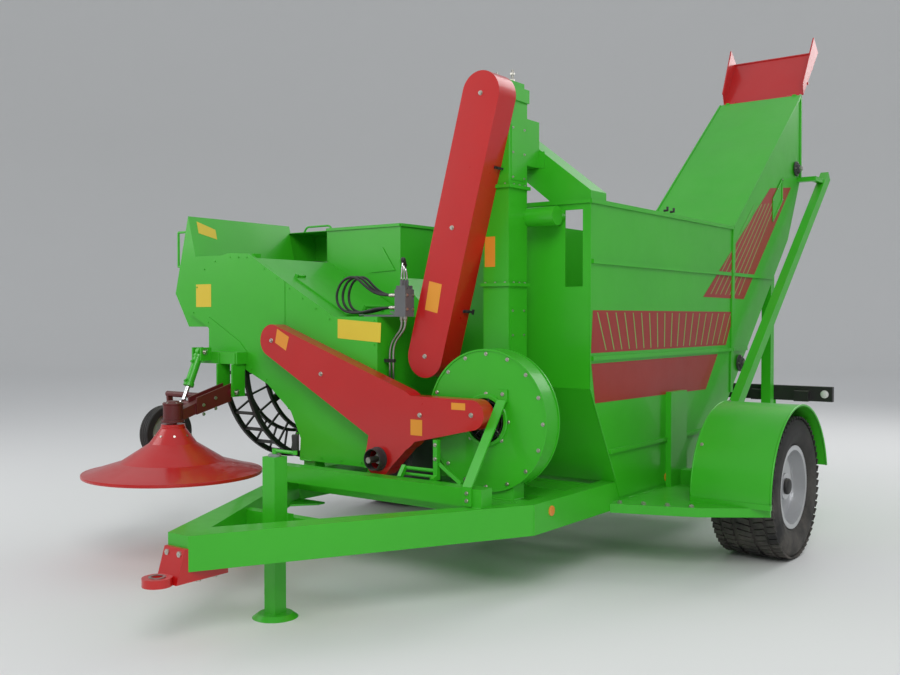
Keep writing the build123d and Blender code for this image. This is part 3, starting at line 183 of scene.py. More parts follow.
# %% Effect: worn edges
# The Bevel node looks at the surface within a small radius. Where it disagrees with the true normal there is
# an edge, and a noise breaks the edge into patches.
tree, given, result = new_tree("edge wear", Radius=0.004, Amount=0.5, Scale=9.0)
bevelled = (node(tree, "Bevel", {"samples": 4}, Radius=(given, "Radius")), "Normal")
true = (node(tree, "NewGeometry"), "Normal")
agree = (node(tree, "VectorMath", {"operation": "DOT_PRODUCT"}, i0=bevelled, i1=true), "Value")
edge = calc(tree, "SUBTRACT", 1.0, agree, clamp=True)
patch = ramp(tree, noise(tree, (given, "Scale"), 8.0, 0.7), 0.5, 0.68)
hand_out(tree, given, result, ramp(tree, edge, 0.02, 0.2), patch)
edge_group = tree

# %% Effect: settled dust
# Dust lies on faces that look up, and splashes rise from the ground on everything low.
tree, given, result = new_tree("settled dust", Amount=0.3, Scale=4.0, Splash_Height=0.35)
facing = node(tree, "SeparateXYZ", Vector=(node(tree, "NewGeometry"), "Normal"))
place = node(tree, "SeparateXYZ", Vector=(node(tree, "TexCoord"), "Object"))
top = ramp(tree, (facing, "Z"), 0.35, 1.0, To_Max=0.7)
height = calc(tree, "SUBTRACT", (place, "Z"), FLOOR_Z)
low = ramp(tree, height, 0.0, (given, "Splash Height"), To_Min=0.8, To_Max=0.0)
patch = ramp(tree, noise(tree, (given, "Scale"), 9.0, 0.68), 0.38, 0.66)
hand_out(tree, given, result, calc(tree, "MAXIMUM", top, low), patch)
dust_group = tree

# %% Effect: fine texture, as a height for a Bump node
tree, given, result = new_tree("fine texture", output="Height", Scale=60.0, Waviness=0.3)
fine = calc(tree, "MULTIPLY", noise(tree, (given, "Scale"), 3.0), 0.1)
wave = calc(tree, "MULTIPLY", noise(tree, 2.2, 1.0), (given, "Waviness"))
give(tree, result, calc(tree, "ADD", fine, wave), "Height")
texture_group = tree
print("effects:", [group.name for group in bpy.data.node_groups])

# %% [markdown]
# ## The finishes
# Every finish is made by one recipe: a base colour that drifts a little to a second tone, dust over it, worn
# edges that show primer or bare steel, and a bump. Painted sheet also has a clear gloss layer. Each call
# gives what differs from one finish to the next.

# %% Recipe for a finish
DUST = (0.30, 0.27, 0.23, 1.0)
ROUGH_SPREAD, COAT_ROUGH = 0.12, 0.08


def use(tree, group, **values):
    return node(tree, "Group", {"node_tree": group}, **values)


def mix(tree, mask, low, high):
    """Colour low where the mask is 0, colour high where it is 1, as a source."""
    return node(tree, "Mix", {"data_type": "RGBA"}, Factor=mask, i6=low, i7=high), 2


def finish(name, base, drift, rough, metal=0.0, coat=0.0, wear=(0.12, 0.11, 0.10), worn=0.5, dust=0.3,
           grain=60.0, waviness=0.3, bump=0.15, depth=0.002, splash=0.35):
    material = bpy.data.materials.new(name)
    material.use_nodes = True
    tree = material.node_tree
    shader = tree.nodes["Principled BSDF"]
    tone = use(tree, variation_group, Scale=1.3, Contrast=1.6)
    edges = use(tree, edge_group, Amount=worn)
    dusty = use(tree, dust_group, Amount=dust, Splash_Height=splash)
    texture = use(tree, texture_group, Scale=grain, Waviness=waviness)
    colour = mix(tree, (tone, "Mask"), (*base, 1.0), (*drift, 1.0))
    colour = mix(tree, (dusty, "Mask"), colour, DUST)
    give(tree, shader, mix(tree, (edges, "Mask"), colour, (*wear, 1.0)), "Base Color")
    smear = (use(tree, variation_group, Scale=6.0, Contrast=1.8), "Mask")
    roughness = ramp(tree, smear, 0.0, 1.0, To_Min=rough, To_Max=rough + ROUGH_SPREAD)
    dull = calc(tree, "MULTIPLY", (dusty, "Mask"), 0.5)
    give(tree, shader, calc(tree, "ADD", roughness, dull, clamp=True), "Roughness")
    relief = node(tree, "Bump", Strength=bump, Distance=depth, Height=(texture, "Height"))
    give(tree, shader, (relief, "Normal"), "Normal")
    for socket, value in (("Metallic", metal), ("Coat Weight", coat), ("Coat Roughness", COAT_ROUGH)):
        shader.inputs[socket].default_value = value
    return material

# %% Paints
GREEN = finish("bright green enamel", (0.030, 0.42, 0.008), (0.045, 0.50, 0.014), 0.32, coat=0.2,
               wear=(0.05, 0.16, 0.03), worn=0.35, dust=0.10)
RED = finish("signal red enamel", (0.50, 0.004, 0.005), (0.58, 0.008, 0.007), 0.26, coat=0.4,
             wear=(0.16, 0.01, 0.01), worn=0.4, dust=0.10)
MAROON = finish("dark red oxide paint", (0.10, 0.008, 0.010), (0.14, 0.012, 0.012), 0.42, coat=0.1,
                wear=(0.16, 0.14, 0.12), worn=0.7, dust=0.45)
BLACK = finish("black chassis paint", (0.012, 0.012, 0.013), (0.022, 0.021, 0.020), 0.45,
               wear=(0.20, 0.19, 0.17), worn=0.8, dust=0.5)
SILVER = finish("silver wheel lacquer", (0.52, 0.53, 0.55), (0.60, 0.61, 0.62), 0.30, metal=0.55, coat=0.2,
                worn=0.3, dust=0.4, splash=0.75)
GREY = finish("grey valve enamel", (0.10, 0.105, 0.11), (0.14, 0.145, 0.15), 0.38, worn=0.5, dust=0.35)

# %% Metals and rubber
STEEL = finish("scoured steel", (0.46, 0.45, 0.43), (0.36, 0.34, 0.31), 0.34, metal=1.0,
               wear=(0.6, 0.6, 0.58), dust=0.35, grain=220.0, waviness=0.1)
ZINC = finish("dull zinc sheet", (0.48, 0.50, 0.52), (0.36, 0.38, 0.40), 0.42, metal=0.9, dust=0.5,
              grain=90.0)
IRON = finish("sand-cast iron", (0.045, 0.05, 0.05), (0.07, 0.07, 0.068), 0.62, metal=0.3, worn=0.6,
              dust=0.45, grain=140.0, bump=0.5, depth=0.004)
CHROME = finish("ground chrome", (0.78, 0.78, 0.79), (0.72, 0.72, 0.74), 0.08, metal=1.0, worn=0.0,
                dust=0.1, grain=300.0, bump=0.02)
ZINC_BOLT = finish("plated fastener", (0.58, 0.57, 0.52), (0.50, 0.48, 0.42), 0.28, metal=1.0, worn=0.3,
                   dust=0.25, grain=200.0, bump=0.1)
TYRE = finish("tyre rubber", (0.014, 0.014, 0.015), (0.024, 0.023, 0.022), 0.68, worn=0.25, dust=0.55,
              wear=(0.05, 0.048, 0.045), grain=160.0, bump=0.35, splash=0.9)
HOSE = finish("hydraulic hose rubber", (0.010, 0.010, 0.011), (0.018, 0.018, 0.019), 0.42, worn=0.1,
              dust=0.3, grain=400.0, bump=0.3)
RUBBER = finish("small wheel rubber", (0.016, 0.016, 0.016), (0.026, 0.025, 0.024), 0.6, dust=0.5,
                grain=160.0, splash=0.9)
print(len(bpy.data.materials), "finishes")

# %% Give each solid piece its finish
FINISH_OF_SLOT = {
    "green_paint": GREEN, "red_paint": RED, "maroon_paint": MAROON, "black_paint": BLACK,
    "rim_silver": SILVER, "valve_grey": GREY, "bare_steel": STEEL, "zinc_sheet": ZINC, "gear_iron": IRON,
    "rod_chrome": CHROME, "tyre_rubber": TYRE, "wheel_rubber": RUBBER, "hose_rubber": HOSE,
}
slot_of_node = {entry["node"]: entry["material_slot"] for entry in frame["record"]["subparts"]}
for name, piece in nodes.items():
    piece.data.materials.clear()
    piece.data.materials.append(FINISH_OF_SLOT[slot_of_node[name]])
print("finished", len(nodes), "solid pieces")

# %% [markdown]
# ## Floor
# The floor is a plain pale disc whose rim curves up all round, so that it hides the horizon from every side.

# %% Floor and backdrop
FLAT_R, SWEEP_R, WALL_TOP, MIDDLE_Y = 24.0, 8.0, 18.0, 2.5
SWEEP, ROUND, TURN = 14, 96, 2 * pi
profile = [(FLAT_R + SWEEP_R * sin(pi / 2 * k / SWEEP), SWEEP_R - SWEEP_R * cos(pi / 2 * k / SWEEP))
           for k in range(SWEEP + 1)] + [(FLAT_R + SWEEP_R, WALL_TOP)]
corners = [(r * cos(TURN * j / ROUND), MIDDLE_Y + r * sin(TURN * j / ROUND), z + FLOOR_Z)
           for r, z in profile for j in range(ROUND)]
faces = [(k * ROUND + j, k * ROUND + (j + 1) % ROUND, (k + 1) * ROUND + (j + 1) % ROUND, (k + 1) * ROUND + j)
         for k in range(len(profile) - 1) for j in range(ROUND)] + [tuple(range(ROUND - 1, -1, -1))]
floor_mesh = bpy.data.meshes.new("floor")
floor_mesh.from_pydata(corners, [], faces)
for polygon in floor_mesh.polygons:
    polygon.use_smooth = True
floor = placed("floor", floor_mesh)
pale = bpy.data.materials.new("pale studio floor")
pale.use_nodes = True
pale.node_tree.nodes["Principled BSDF"].inputs["Base Color"].default_value = (0.80, 0.80, 0.79, 1.0)
pale.node_tree.nodes["Principled BSDF"].inputs["Roughness"].default_value = 0.9
floor_mesh.materials.append(pale)

# %% [markdown]
# ## Helpers for plain meshes
# Most of the small pieces are plates, bars and turned shapes. `solid` makes one shape or a list of them
# into a piece that rides on one body of the machine; the others make the shapes. Places are given in the
# machine's millimetres.

# %% Mesh helpers
left, right, front, rear, up, down = (1, 0, 0), (-1, 0, 0), (0, -1, 0), (0, 1, 0), (0, 0, 1), (0, 0, -1)


def keep(name, mesh, body):
    made = placed(name, mesh)
    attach(made, body)
    return made


def joined(shapes):
    """Several shapes as one; a shape is its corners, in scene metres, and its faces."""
    corners, faces = [], []
    for more_corners, more_faces in shapes:
        start = len(corners)
        corners += more_corners
        faces += [tuple(start + k for k in face) for face in more_faces]
    return corners, faces


def solid(name, shape, material, body="base", smooth=False):
    """A piece from one shape or a list of them, with its normals turned outwards."""
    corners, faces = joined(shape) if isinstance(shape, list) else shape
    mesh = bpy.data.meshes.new(name)
    mesh.from_pydata([tuple(c) for c in corners], [], faces)
    work = bmesh.new()
    work.from_mesh(mesh)
    bmesh.ops.remove_doubles(work, verts=work.verts, dist=1e-6)
    bmesh.ops.recalc_face_normals(work, faces=work.faces)
    work.to_mesh(mesh)
    work.free()
    for polygon in mesh.polygons:
        polygon.use_smooth = smooth
    mesh.materials.append(material)
    return keep(name, mesh, body)


def plate(outline, normal, thickness):
    """A flat plate: an outline of places, thickened along a direction."""
    push = Vector(normal).normalized() * thickness / 1000.0
    count = len(outline)
    corners = list(outline) + [c + push for c in outline]
    faces = [tuple(range(count)), tuple(range(2 * count - 1, count - 1, -1))]
    faces += [(k, (k + 1) % count, (k + 1) % count + count, k + count) for k in range(count)]
    return corners, faces


def places(*spots):
    return [at(*spot) for spot in spots]


def box_between(low, high):
    (x0, y0, z0), (x1, y1, z1) = low, high
    return plate(places((x0, y0, z0), (x1, y0, z0), (x1, y1, z0), (x0, y1, z0)), up, z1 - z0)


def square_to(axis):
    """An axis with two directions that are square to it and to each other."""
    axis = Vector(axis).normalized()
    across = axis.orthogonal().normalized()
    return axis, across, axis.cross(across)


def lathe(profile, centre, axis, steps=48):
    """A ring-shaped or solid turned shape: profile is (distance along the axis, radius) in millimetres."""
    axis, across, other = square_to(axis)
    corners, faces = [], []
    for k in range(steps):
        out = across * cos(TURN * k / steps) + other * sin(TURN * k / steps)
        corners += [centre + (axis * along + out * radius) / 1000.0 for along, radius in profile]
    size = len(profile)
    for k in range(steps):
        a, b = k * size, (k + 1) % steps * size
        faces += [(a + j, a + (j + 1) % size, b + (j + 1) % size, b + j) for j in range(size)]
    return corners, faces


def bar(start, end, width, height, up=up):
    """A square-edged bar between two places."""
    run = (end - start).normalized()
    side = run.cross(Vector(up)).normalized() * width / 2000.0
    lift = side.cross(run).normalized() * height / 2000.0
    base = [start - side - lift, start + side - lift, start + side + lift, start - side + lift]
    return plate(base, run, (end - start).length * 1000.0)

# %% [markdown]
# ## Road tyres
# A farm tyre for road use has a flat tread with ribs cut into blocks, so that it runs quietly and still
# grips a field track. The carcass is one turned profile. Its tread is a rule, a block repeated round a
# circle in several rows, so Geometry Nodes make it: a circle of points, a block on each, turned to face out.

# %% Tyre carcass
TYRE_R, BEAD_R, GROOVE = 465.0, 249.0, 13.0
WHEEL_X, SHOULDER = 1575, 150
WHEELS = ((1, "wheel_left"), (-1, "wheel_right"))
RIBS = ((0.0, 96.0), (104.0, 62.0), (-104.0, 62.0), (178.0, 54.0), (-178.0, 54.0))
OUTSIDE = [(-175, BEAD_R), (-175, 276), (-186, 284), (-200, 300), (-213, 340), (-215, 356), (-212, 372),
           (-214, 380), (-211, 396), (-204, 420), (-196, 438), (-184, 449), (-130, TYRE_R - GROOVE)]
INSIDE = [(150, 252), (172, 350), (150, 420)]


def mirrored(profile):
    return [(-x, r) for x, r in reversed(profile)]


CARCASS = OUTSIDE + [(0, TYRE_R - GROOVE + 1)] + mirrored(OUTSIDE) + INSIDE + [(0, 432)] + mirrored(INSIDE)


def hub(side, out, rise=0):
    """A place by a road wheel's middle: so far outwards and so far above it."""
    return at(side * (WHEEL_X + out), 0, TYRE_R + rise)

# %% Tread tree: one row of blocks round the x axis
def dress(tree, given, result, geometry, finish):
    """The last steps of a tree: real faces, and their finish."""
    real = (node(tree, "GeometryNodeRealizeInstances", Geometry=geometry), "Geometry")
    dressed = node(tree, "GeometryNodeSetMaterial", Geometry=real, Material=(given, finish))
    give(tree, result, (dressed, "Geometry"), 0)
    return tree


def tread_tree():
    tree, given, result = new_tree("tread row", "GeometryNodeTree", "Tread", "Geometry", Radius="Float",
                                   Blocks="Int", Block_Width="Float", Block_Length="Float",
                                   Block_Height="Float", Skew="Float", Rubber="Material")
    circle = node(tree, "GeometryNodeMeshCircle", Vertices=(given, "Blocks"), Radius=(given, "Radius"))
    size = node(tree, "CombineXYZ", X=(given, "Block Height"), Y=(given, "Block Length"),
                Z=(given, "Block Width"))
    block = node(tree, "GeometryNodeMeshCube", Size=(size, 0))
    place = node(tree, "GeometryNodeInputPosition")
    facing = node(tree, "FunctionNodeAlignRotationToVector", {"axis": "X", "pivot_axis": "Z"},
                  Vector=(place, "Position"))
    laid = node(tree, "GeometryNodeInstanceOnPoints", Points=(circle, "Mesh"), Instance=(block, "Mesh"),
                Rotation=(facing, "Rotation"))
    skewed = node(tree, "CombineXYZ", X=(given, "Skew"))
    turned = node(tree, "GeometryNodeRotateInstances", Instances=(laid, "Instances"), Rotation=(skewed, 0))
    onto_x = node(tree, "GeometryNodeTransform", Geometry=(turned, "Instances"), Rotation=(0.0, pi / 2, 0.0))
    return dress(tree, given, result, (onto_x, "Geometry"), "Rubber")


def run_tree(name, tree, seed_mesh, **values):
    """A mesh made by a tree: its inputs are set by their identifiers before it is evaluated."""
    maker = placed(name, seed_mesh)
    modifier = maker.modifiers.new("rule", "NODES")
    modifier.node_group = tree
    for item in tree.interface.items_tree:
        key = item.name.replace(" ", "_")
        if item.in_out == "INPUT" and key in values:
            modifier[item.identifier] = values[key]
    made = bpy.data.meshes.new_from_object(maker.evaluated_get(bpy.context.evaluated_depsgraph_get()))
    bpy.data.objects.remove(maker)
    return made

# %% Tyres with tread
BLOCKS, BLOCK_LENGTH, SKEW = 58, 0.0395, 0.22
TREAD = tread_tree()
for side, body in WHEELS:
    tyre = solid(f"{body}_tyre", lathe(CARCASS, hub(side, 0), left, 96), TYRE, body, smooth=True)
    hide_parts(body.replace("wheel", "tyre"))
    for row, (offset, width) in enumerate(RIBS):
        radius = TYRE_R - GROOVE / 2 - (6.0 if abs(offset) > SHOULDER else 1.0)
        tread = run_tree("tread", TREAD, bpy.data.meshes.new("seed"), Radius=radius / 1000, Blocks=BLOCKS,
                         Block_Width=width / 1000, Block_Length=BLOCK_LENGTH, Block_Height=GROOVE / 1000,
                         Skew=SKEW * (1 if row % 2 else -1), Rubber=TYRE)
        tread.transform(Matrix.Rotation(pi / BLOCKS * (row % 3), 4, "X"))
        tread.transform(Matrix.Translation(hub(side, 0) + Vector((offset / 1000, 0, 0))))
        keep(f"{body}_tread_{row + 1}", tread, body)
print("tyres with", len(RIBS), "rows of tread each")

# %% [markdown]
# ## Fasteners
# Hex heads on washers hold the guards, hubs, flanges and bearings. One tree sets them all: it takes points
# that carry the direction they face, puts a washer and a head on each and turns them to that direction.
# Rows are listed by their two ends and how many they hold, circles by centre and radius.

# %% Fastener tree
def fastener_tree():
    tree, given, result = new_tree("fasteners", "GeometryNodeTree", "Fasteners", "Geometry",
                                   Points="Geometry", Head_Radius="Float", Head_Height="Float",
                                   Finish="Material")
    radius, height = (given, "Head Radius"), (given, "Head Height")
    wide, thin = calc(tree, "MULTIPLY", radius, 1.3), calc(tree, "MULTIPLY", height, 0.3)
    whole = tree.nodes.new("GeometryNodeJoinGeometry")
    # the washer, the head and the bolt's end: sides, radius, depth, and lift as a share of the height
    for sides, r, depth, lift in ((16, wide, thin, 0.0), (6, radius, height, 0.65), (8, thin, height, 0.9)):
        part = node(tree, "GeometryNodeMeshCylinder", Vertices=sides, Radius=r, Depth=depth)
        lifted = node(tree, "CombineXYZ", Z=calc(tree, "MULTIPLY", height, lift))
        raised = node(tree, "GeometryNodeTransform", Geometry=(part, "Mesh"), Translation=(lifted, 0))
        give(tree, whole, (raised, "Geometry"), 0)
    facing = node(tree, "GeometryNodeInputNamedAttribute", {"data_type": "FLOAT_VECTOR"}, Name="facing")
    turn = node(tree, "FunctionNodeAlignRotationToVector", {"axis": "Z"}, Vector=(facing, "Attribute"))
    laid = node(tree, "GeometryNodeInstanceOnPoints", Points=(given, "Points"), Instance=(whole, "Geometry"),
                Rotation=(turn, "Rotation"))
    return dress(tree, given, result, (laid, "Instances"), "Finish")


FASTENERS = fastener_tree()


def fasten(name, spots, radius, height, body="base", material=ZINC_BOLT):
    """Fasteners at spots, each a place and the direction it faces; radius and height in millimetres."""
    mesh = bpy.data.meshes.new(name)
    mesh.from_pydata([tuple(place) for place, _ in spots], [], [])
    facing = mesh.attributes.new("facing", "FLOAT_VECTOR", "POINT")
    facing.data.foreach_set("vector", [c for _, direction in spots for c in direction])
    keep(name, run_tree(name, FASTENERS, mesh, Head_Radius=radius / 1000, Head_Height=height / 1000,
                        Finish=material), body)


def spots(facing, *where):
    return [(at(*place), facing) for place in where]


def row(start, end, count, facing):
    """Evenly spaced spots between two places."""
    start, end = at(*start), at(*end)
    return [(start.lerp(end, k / max(count - 1, 1)), facing) for k in range(count)]


def circle(centre, radius, count, facing, phase=0.0):
    """Spots round a circle that faces along an axis."""
    _, across, other = square_to(facing)
    angles = [phase + TURN * k / count for k in range(count)]
    return [(centre + (across * cos(a) + other * sin(a)) * radius / 1000, facing) for a in angles]

# %% Wheel nuts and hub caps
for side, body in WHEELS:
    outwards = (side, 0, 0)
    fasten(f"{body}_nuts", circle(hub(side, 54), 107, 8, outwards), 13, 16, body)
    cap = [(0, 0), (0, 52), (16, 52), (22, 46), (26, 34), (28, 16), (28, 0)]
    solid(f"{body}_hub_cap", lathe(cap, hub(side, 135), outwards, 40), BLACK, body, smooth=True)
    solid(f"{body}_valve_stem", bar(hub(side, 87, 205), hub(side, 115, 212), 9, 9, rear), RUBBER, body)

# %% Fasteners of the frame, guards and housings
BLOWER = at(615, -1855, 980)
DRUM_X, DRUM_Z, CASE_R = -790, 1330, 458
large = (
    row((1055, 70, 427), (1055, 210, 427), 2, up) + row((1145, 70, 427), (1145, 210, 427), 2, up)
    + row((-45, -3540, 400), (45, -3540, 400), 2, front) + row((-45, -3540, 455), (45, -3540, 455), 2, front)
    + circle(at(DRUM_X, 2095, DRUM_Z), 48, 4, rear, 0.8)
    + row((990, -940, 415), (1400, -800, 415), 4, up) + row((-990, -940, 415), (-1400, -800, 415), 4, up)
)
fasten("frame_bolts", large, 15, 12)
medium = (
    row((960, 985, 1020), (960, 1000, 1840), 8, left) + row((960, 1003, 1950), (960, 1005, 2230), 3, left)
    + circle(BLOWER, 152, 8, front) + circle(BLOWER, 378, 16, front)
)
fasten("housing_bolts", medium, 9, 7)
fasten("guard_bolts", spots(front, (-985, -2000, 1415), (615, -2000, 1020), (-540, -2000, 1212),
                            (250, -2000, 1000), (520, -1775, 2860), (110, -1775, 1330),
                            (315, -1775, 2095)), 11, 9)
print("fasteners set")

# %% [markdown]
# ## Stripes and blank labels
# The tank's side carries red bands cut from adhesive film, crossed by thin pale lines, and small coloured
# labels sit on the panel and the guards. Films are a fraction of a millimetre thick, so here each is a thin
# plate just proud of the sheet. The labels are left blank.

# %% Film finishes
BAND = finish("red adhesive film", (0.30, 0.012, 0.008), (0.38, 0.02, 0.012), 0.38, coat=0.15, worn=0.15,
              wear=(0.10, 0.35, 0.05), dust=0.2, bump=0.05)
LINE = finish("pale green film", (0.16, 0.42, 0.08), (0.22, 0.48, 0.12), 0.4, worn=0.0, dust=0.15, bump=0.05)
YELLOW = finish("yellow label", (0.72, 0.52, 0.02), (0.80, 0.60, 0.04), 0.4, worn=0.3, dust=0.15, bump=0.05)
ORANGE = finish("orange label", (0.80, 0.28, 0.02), (0.86, 0.36, 0.03), 0.4, worn=0.3, dust=0.15, bump=0.05)

# %% Bands on the tank's left side: outlines of (y, z)
SIDE_X = 960.0
BANDS = (
    ((-1236, 1608), (1030, 1610), (858, 1356), (-1258, 1352)),
    ((-1252, 1288), (700, 1292), (475, 1040), (-1206, 1050)),
    ((420, 1716), (1232, 1712), (2360, 2712), (1830, 2652)),
)
for number, outline in enumerate(BANDS):
    band = plate([at(SIDE_X + 0.4, y, z) for y, z in outline], left, 1.2)
    solid(f"side_band_{number + 1}", band, BAND)


def thin_line(y0, z0, y1, z1, width):
    ends = ((y0 - width / 2, z0), (y0 + width / 2, z0), (y1 + width / 2, z1), (y1 - width / 2, z1))
    return plate([at(SIDE_X + 1.7, y, z) for y, z in ends], left, 0.6)


lines = []
for k in range(19):
    share = k / 18
    top_y = -1180 + 2130 * share
    lines.append(thin_line(top_y, 1596, top_y + 110 - 260 * share, 1366, 11))
for k in range(7):
    share = k / 6
    low_y = 560 + 560 * share
    lines.append(thin_line(low_y, 1740, low_y + 900 - 60 * share, 2480 + 60 * share, 12))
solid("band_lines", lines, LINE)

# %% Blank labels: corner outlines on surfaces that face the front
PANEL_Y, TALL_GUARD_Y, ARM_GUARD_Y, TOWER_Y = -1900, -1775, -2000, -1600
LABELS = (
    ("panel_label", PANEL_Y, YELLOW, ((-489, 1435), (-135, 1412), (-129, 1532), (-489, 1556))),
    ("wheel_label", PANEL_Y, YELLOW, ((-1862, 1640), (-1700, 1640), (-1700, 1800), (-1862, 1800))),
    ("tall_guard_label", TALL_GUARD_Y, ORANGE, ((112, 1612), (206, 1590), (240, 1762), (146, 1784))),
    ("arm_label", ARM_GUARD_Y, ORANGE, ((-950, 1402), (-850, 1352), (-822, 1440), (-930, 1492))),
    ("input_label", ARM_GUARD_Y, ORANGE, ((182, 880), (268, 880), (268, 972), (182, 972))),
    ("blower_label", ARM_GUARD_Y, ORANGE, ((478, 1045), (575, 1045), (575, 1084), (478, 1084))),
    ("tower_label", TOWER_Y, ORANGE, ((430, 1866), (504, 1866), (504, 2046), (430, 2046))),
)
for name, y, material, outline in LABELS:
    solid(name, plate([at(x, y - 0.4, z) for x, z in outline], front, 0.8), material)
HOOD_LABEL = ((-1802, 2176), (-1640, 2140), (-1640, 2212), (-1802, 2262))
outline = [at(-1904.5 - (z - 2000) * 80 / 295, y, z) for y, z in HOOD_LABEL]
solid("hood_label", plate(outline, (295, 0, 80), 0.8), YELLOW)
print(len(BANDS), "bands,", len(LABELS) + 1, "labels")

# %% [markdown]
# ## Hydraulic hoses
# Three loops of hose hang beside the valve block. A hose is stiff and springs out in a wide bend, so each is
# a smooth curve through a few points. A NURBS curve with those points as its controls gives that bend.
# Crimped ferrules and hex unions join the hose to the ports.

# %% Hose loops
HOSE_R = 8.0
HOSE_ROUTE = ((-80, 1700), (-180, 1700), (-285, 1745), (-390, 1830), (-500, 1800), (-552, 1705), (-520, 1622),
              (-420, 1590), (-300, 1600), (-190, 1625), (-80, 1625))
HOSE_Y, HOSE_PITCH, PORT_X = -1852.0, 26.0, -80
FERRULE = [(0, 0), (0, 12.5), (9, 12.5), (9, 10.5), (26, 10.5), (28, 12), (40, 12), (52, 10), (52, 0)]
HOSE_LOOPS = 3
for k in range(HOSE_LOOPS):
    reach = 1 - 0.06 * k
    curve = bpy.data.curves.new(f"hose_loop_{k + 1}", "CURVE")
    curve.dimensions = "3D"
    curve.bevel_depth, curve.bevel_resolution, curve.resolution_u = HOSE_R / 1000, 5, 10
    curve.use_fill_caps = True
    spline = curve.splines.new("NURBS")
    spline.points.add(len(HOSE_ROUTE) - 1)
    for point, (x, z) in zip(spline.points, HOSE_ROUTE):
        point.co = (*at(PORT_X + (x - PORT_X) * reach, HOSE_Y + HOSE_PITCH * k, z), 1.0)
    spline.order_u = 3
    spline.use_endpoint_u = True
    curve.materials.append(HOSE)
    hose = placed(f"hose_loop_{k + 1}", curve)
    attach(hose, "base")
    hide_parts(f"hose_{k + 1}")
    for end, z in (("top", 1700), ("low", 1625)):
        ferrule = lathe(FERRULE, at(-50, HOSE_Y + HOSE_PITCH * k, z), right, 24)
        solid(f"ferrule_{end}_{k + 1}", ferrule, ZINC_BOLT)
print(HOSE_LOOPS, "hose loops")

# %% [markdown]
# ## Bent tubes and weld beads
# Hems, handles and pipes are round bars that follow a path. `tube` sweeps a circle along places, turning the
# circle a little at each one so that it never twists. A weld bead is the same tube with a radius that rises
# and falls, which is how the small overlapping pools of a hand-made seam look.

# %% Tubes and beads
def tube(points, radius, steps=10):
    """A closed tube along places; radius is one size or one for each place, in millimetres."""
    sizes = radius if isinstance(radius, list) else [radius] * len(points)
    corners, faces = [], []
    across = None
    for k, place in enumerate(points):
        before, after = points[max(k - 1, 0)], points[min(k + 1, len(points) - 1)]
        run = (after - before).normalized()
        across = (run.orthogonal() if across is None else across - run * across.dot(run)).normalized()
        other = run.cross(across)
        for j in range(steps):
            angle = 2 * pi * j / steps
            corners.append(place + (across * cos(angle) + other * sin(angle)) * sizes[k] / 1000)
    for k in range(len(points) - 1):
        a, b = k * steps, (k + 1) * steps
        faces += [(a + j, a + (j + 1) % steps, b + (j + 1) % steps, b + j) for j in range(steps)]
    last = (len(points) - 1) * steps
    faces += [tuple(range(steps)), tuple(range(last + steps - 1, last - 1, -1))]
    return corners, faces


def rounded(points, radius, steps=5):
    """The same path with its corners rounded by short arcs."""
    path = [points[0]]
    for a, b, c in zip(points, points[1:], points[2:]):
        first, second = (a - b).normalized(), (c - b).normalized()
        cut = min(radius / 1000, (a - b).length / 2.1, (c - b).length / 2.1)
        start, end = b + first * cut, b + second * cut
        for k in range(steps + 1):
            t = k / steps
            path.append(start * (1 - t) ** 2 + b * 2 * t * (1 - t) + end * t ** 2)
    return path + [points[-1]]


def bead(start, end, size=5.0, pitch=6.5):
    start, end = at(*start), at(*end)
    count = max(3, round((end - start).length * 1000 / pitch))
    points = [start.lerp(end, k / count) for k in range(count + 1)]
    return tube(points, [size if k % 2 else size * 0.72 for k in range(count + 1)], steps=6)

# %% Seams of the frame and its decks
def across(x0, x1, y, z):
    return (x0, y, z), (x1, y, z)


def along(x, y0, y1, z):
    return (x, y0, z), (x, y1, z)


def upright(x, y, z0, z1):
    return (x, y, z0), (x, y, z1)


seams = []
for side in (-1, 1):
    beam_end = side * (788 if side > 0 else 828)
    seams += [across(side * 700, beam_end, -2150, 540), across(side * 760, beam_end, -2050, 540),
              upright(side * 45, -2855, 375, 535), upright(side * 955, -1880, 375, 535)]
    seams += [along(side * 957, y, y + 90, 417) for y in (-970, -760, -550, -340, 130)]
    seams += [across(side * x, side * (x + 80), -626, 417) for x in (1330, 1500, 1670)]
seams += [across(420, 600, -1602, 542), along(602, -1600, -1400, 542), across(437, 793, -1847, 542),
          along(795, -1845, -1740, 542), upright(962, -1268, 1150, 2265),
          ((962, -938, 550), (962, -1268, 1138)), across(-272, -172, PANEL_Y, 640),
          across(-822, -722, PANEL_Y, 640), along(1065, 92, 188, 430), along(1135, 92, 188, 430)]
for x in (300, 905):
    seams += [across(x - 40, x + 40, 1908, 542), along(x + 42, 1910, 1990, 542),
              across(x - 40, x + 40, 1992, 542)]
seams += [across(x - 40, x + 40, 2057, z) for x in (-920, -660) for z in (542, 998)]
seams += [upright(x, -1992, 1250, 1325) for x in (-1350, -1510)]
solid("frame_weld_beads", [bead(a, b) for a, b in seams], GREEN, smooth=True)
print(len(seams), "seams")

# %% [markdown]
# ## Hems of the sheet metal
# A cut edge of thin sheet is folded back on itself or stiffened with a bar, so that it doesn't flutter or
# cut hands. These hems catch the light and draw the outline of each panel.

# %% Tank rim, elevator edges and fender lips
def bars(*rows):
    """Bars from rows of two ends, a width, a height and, where it isn't up, a direction."""
    return [bar(at(*start), at(*end), *rest) for start, end, *rest in rows]


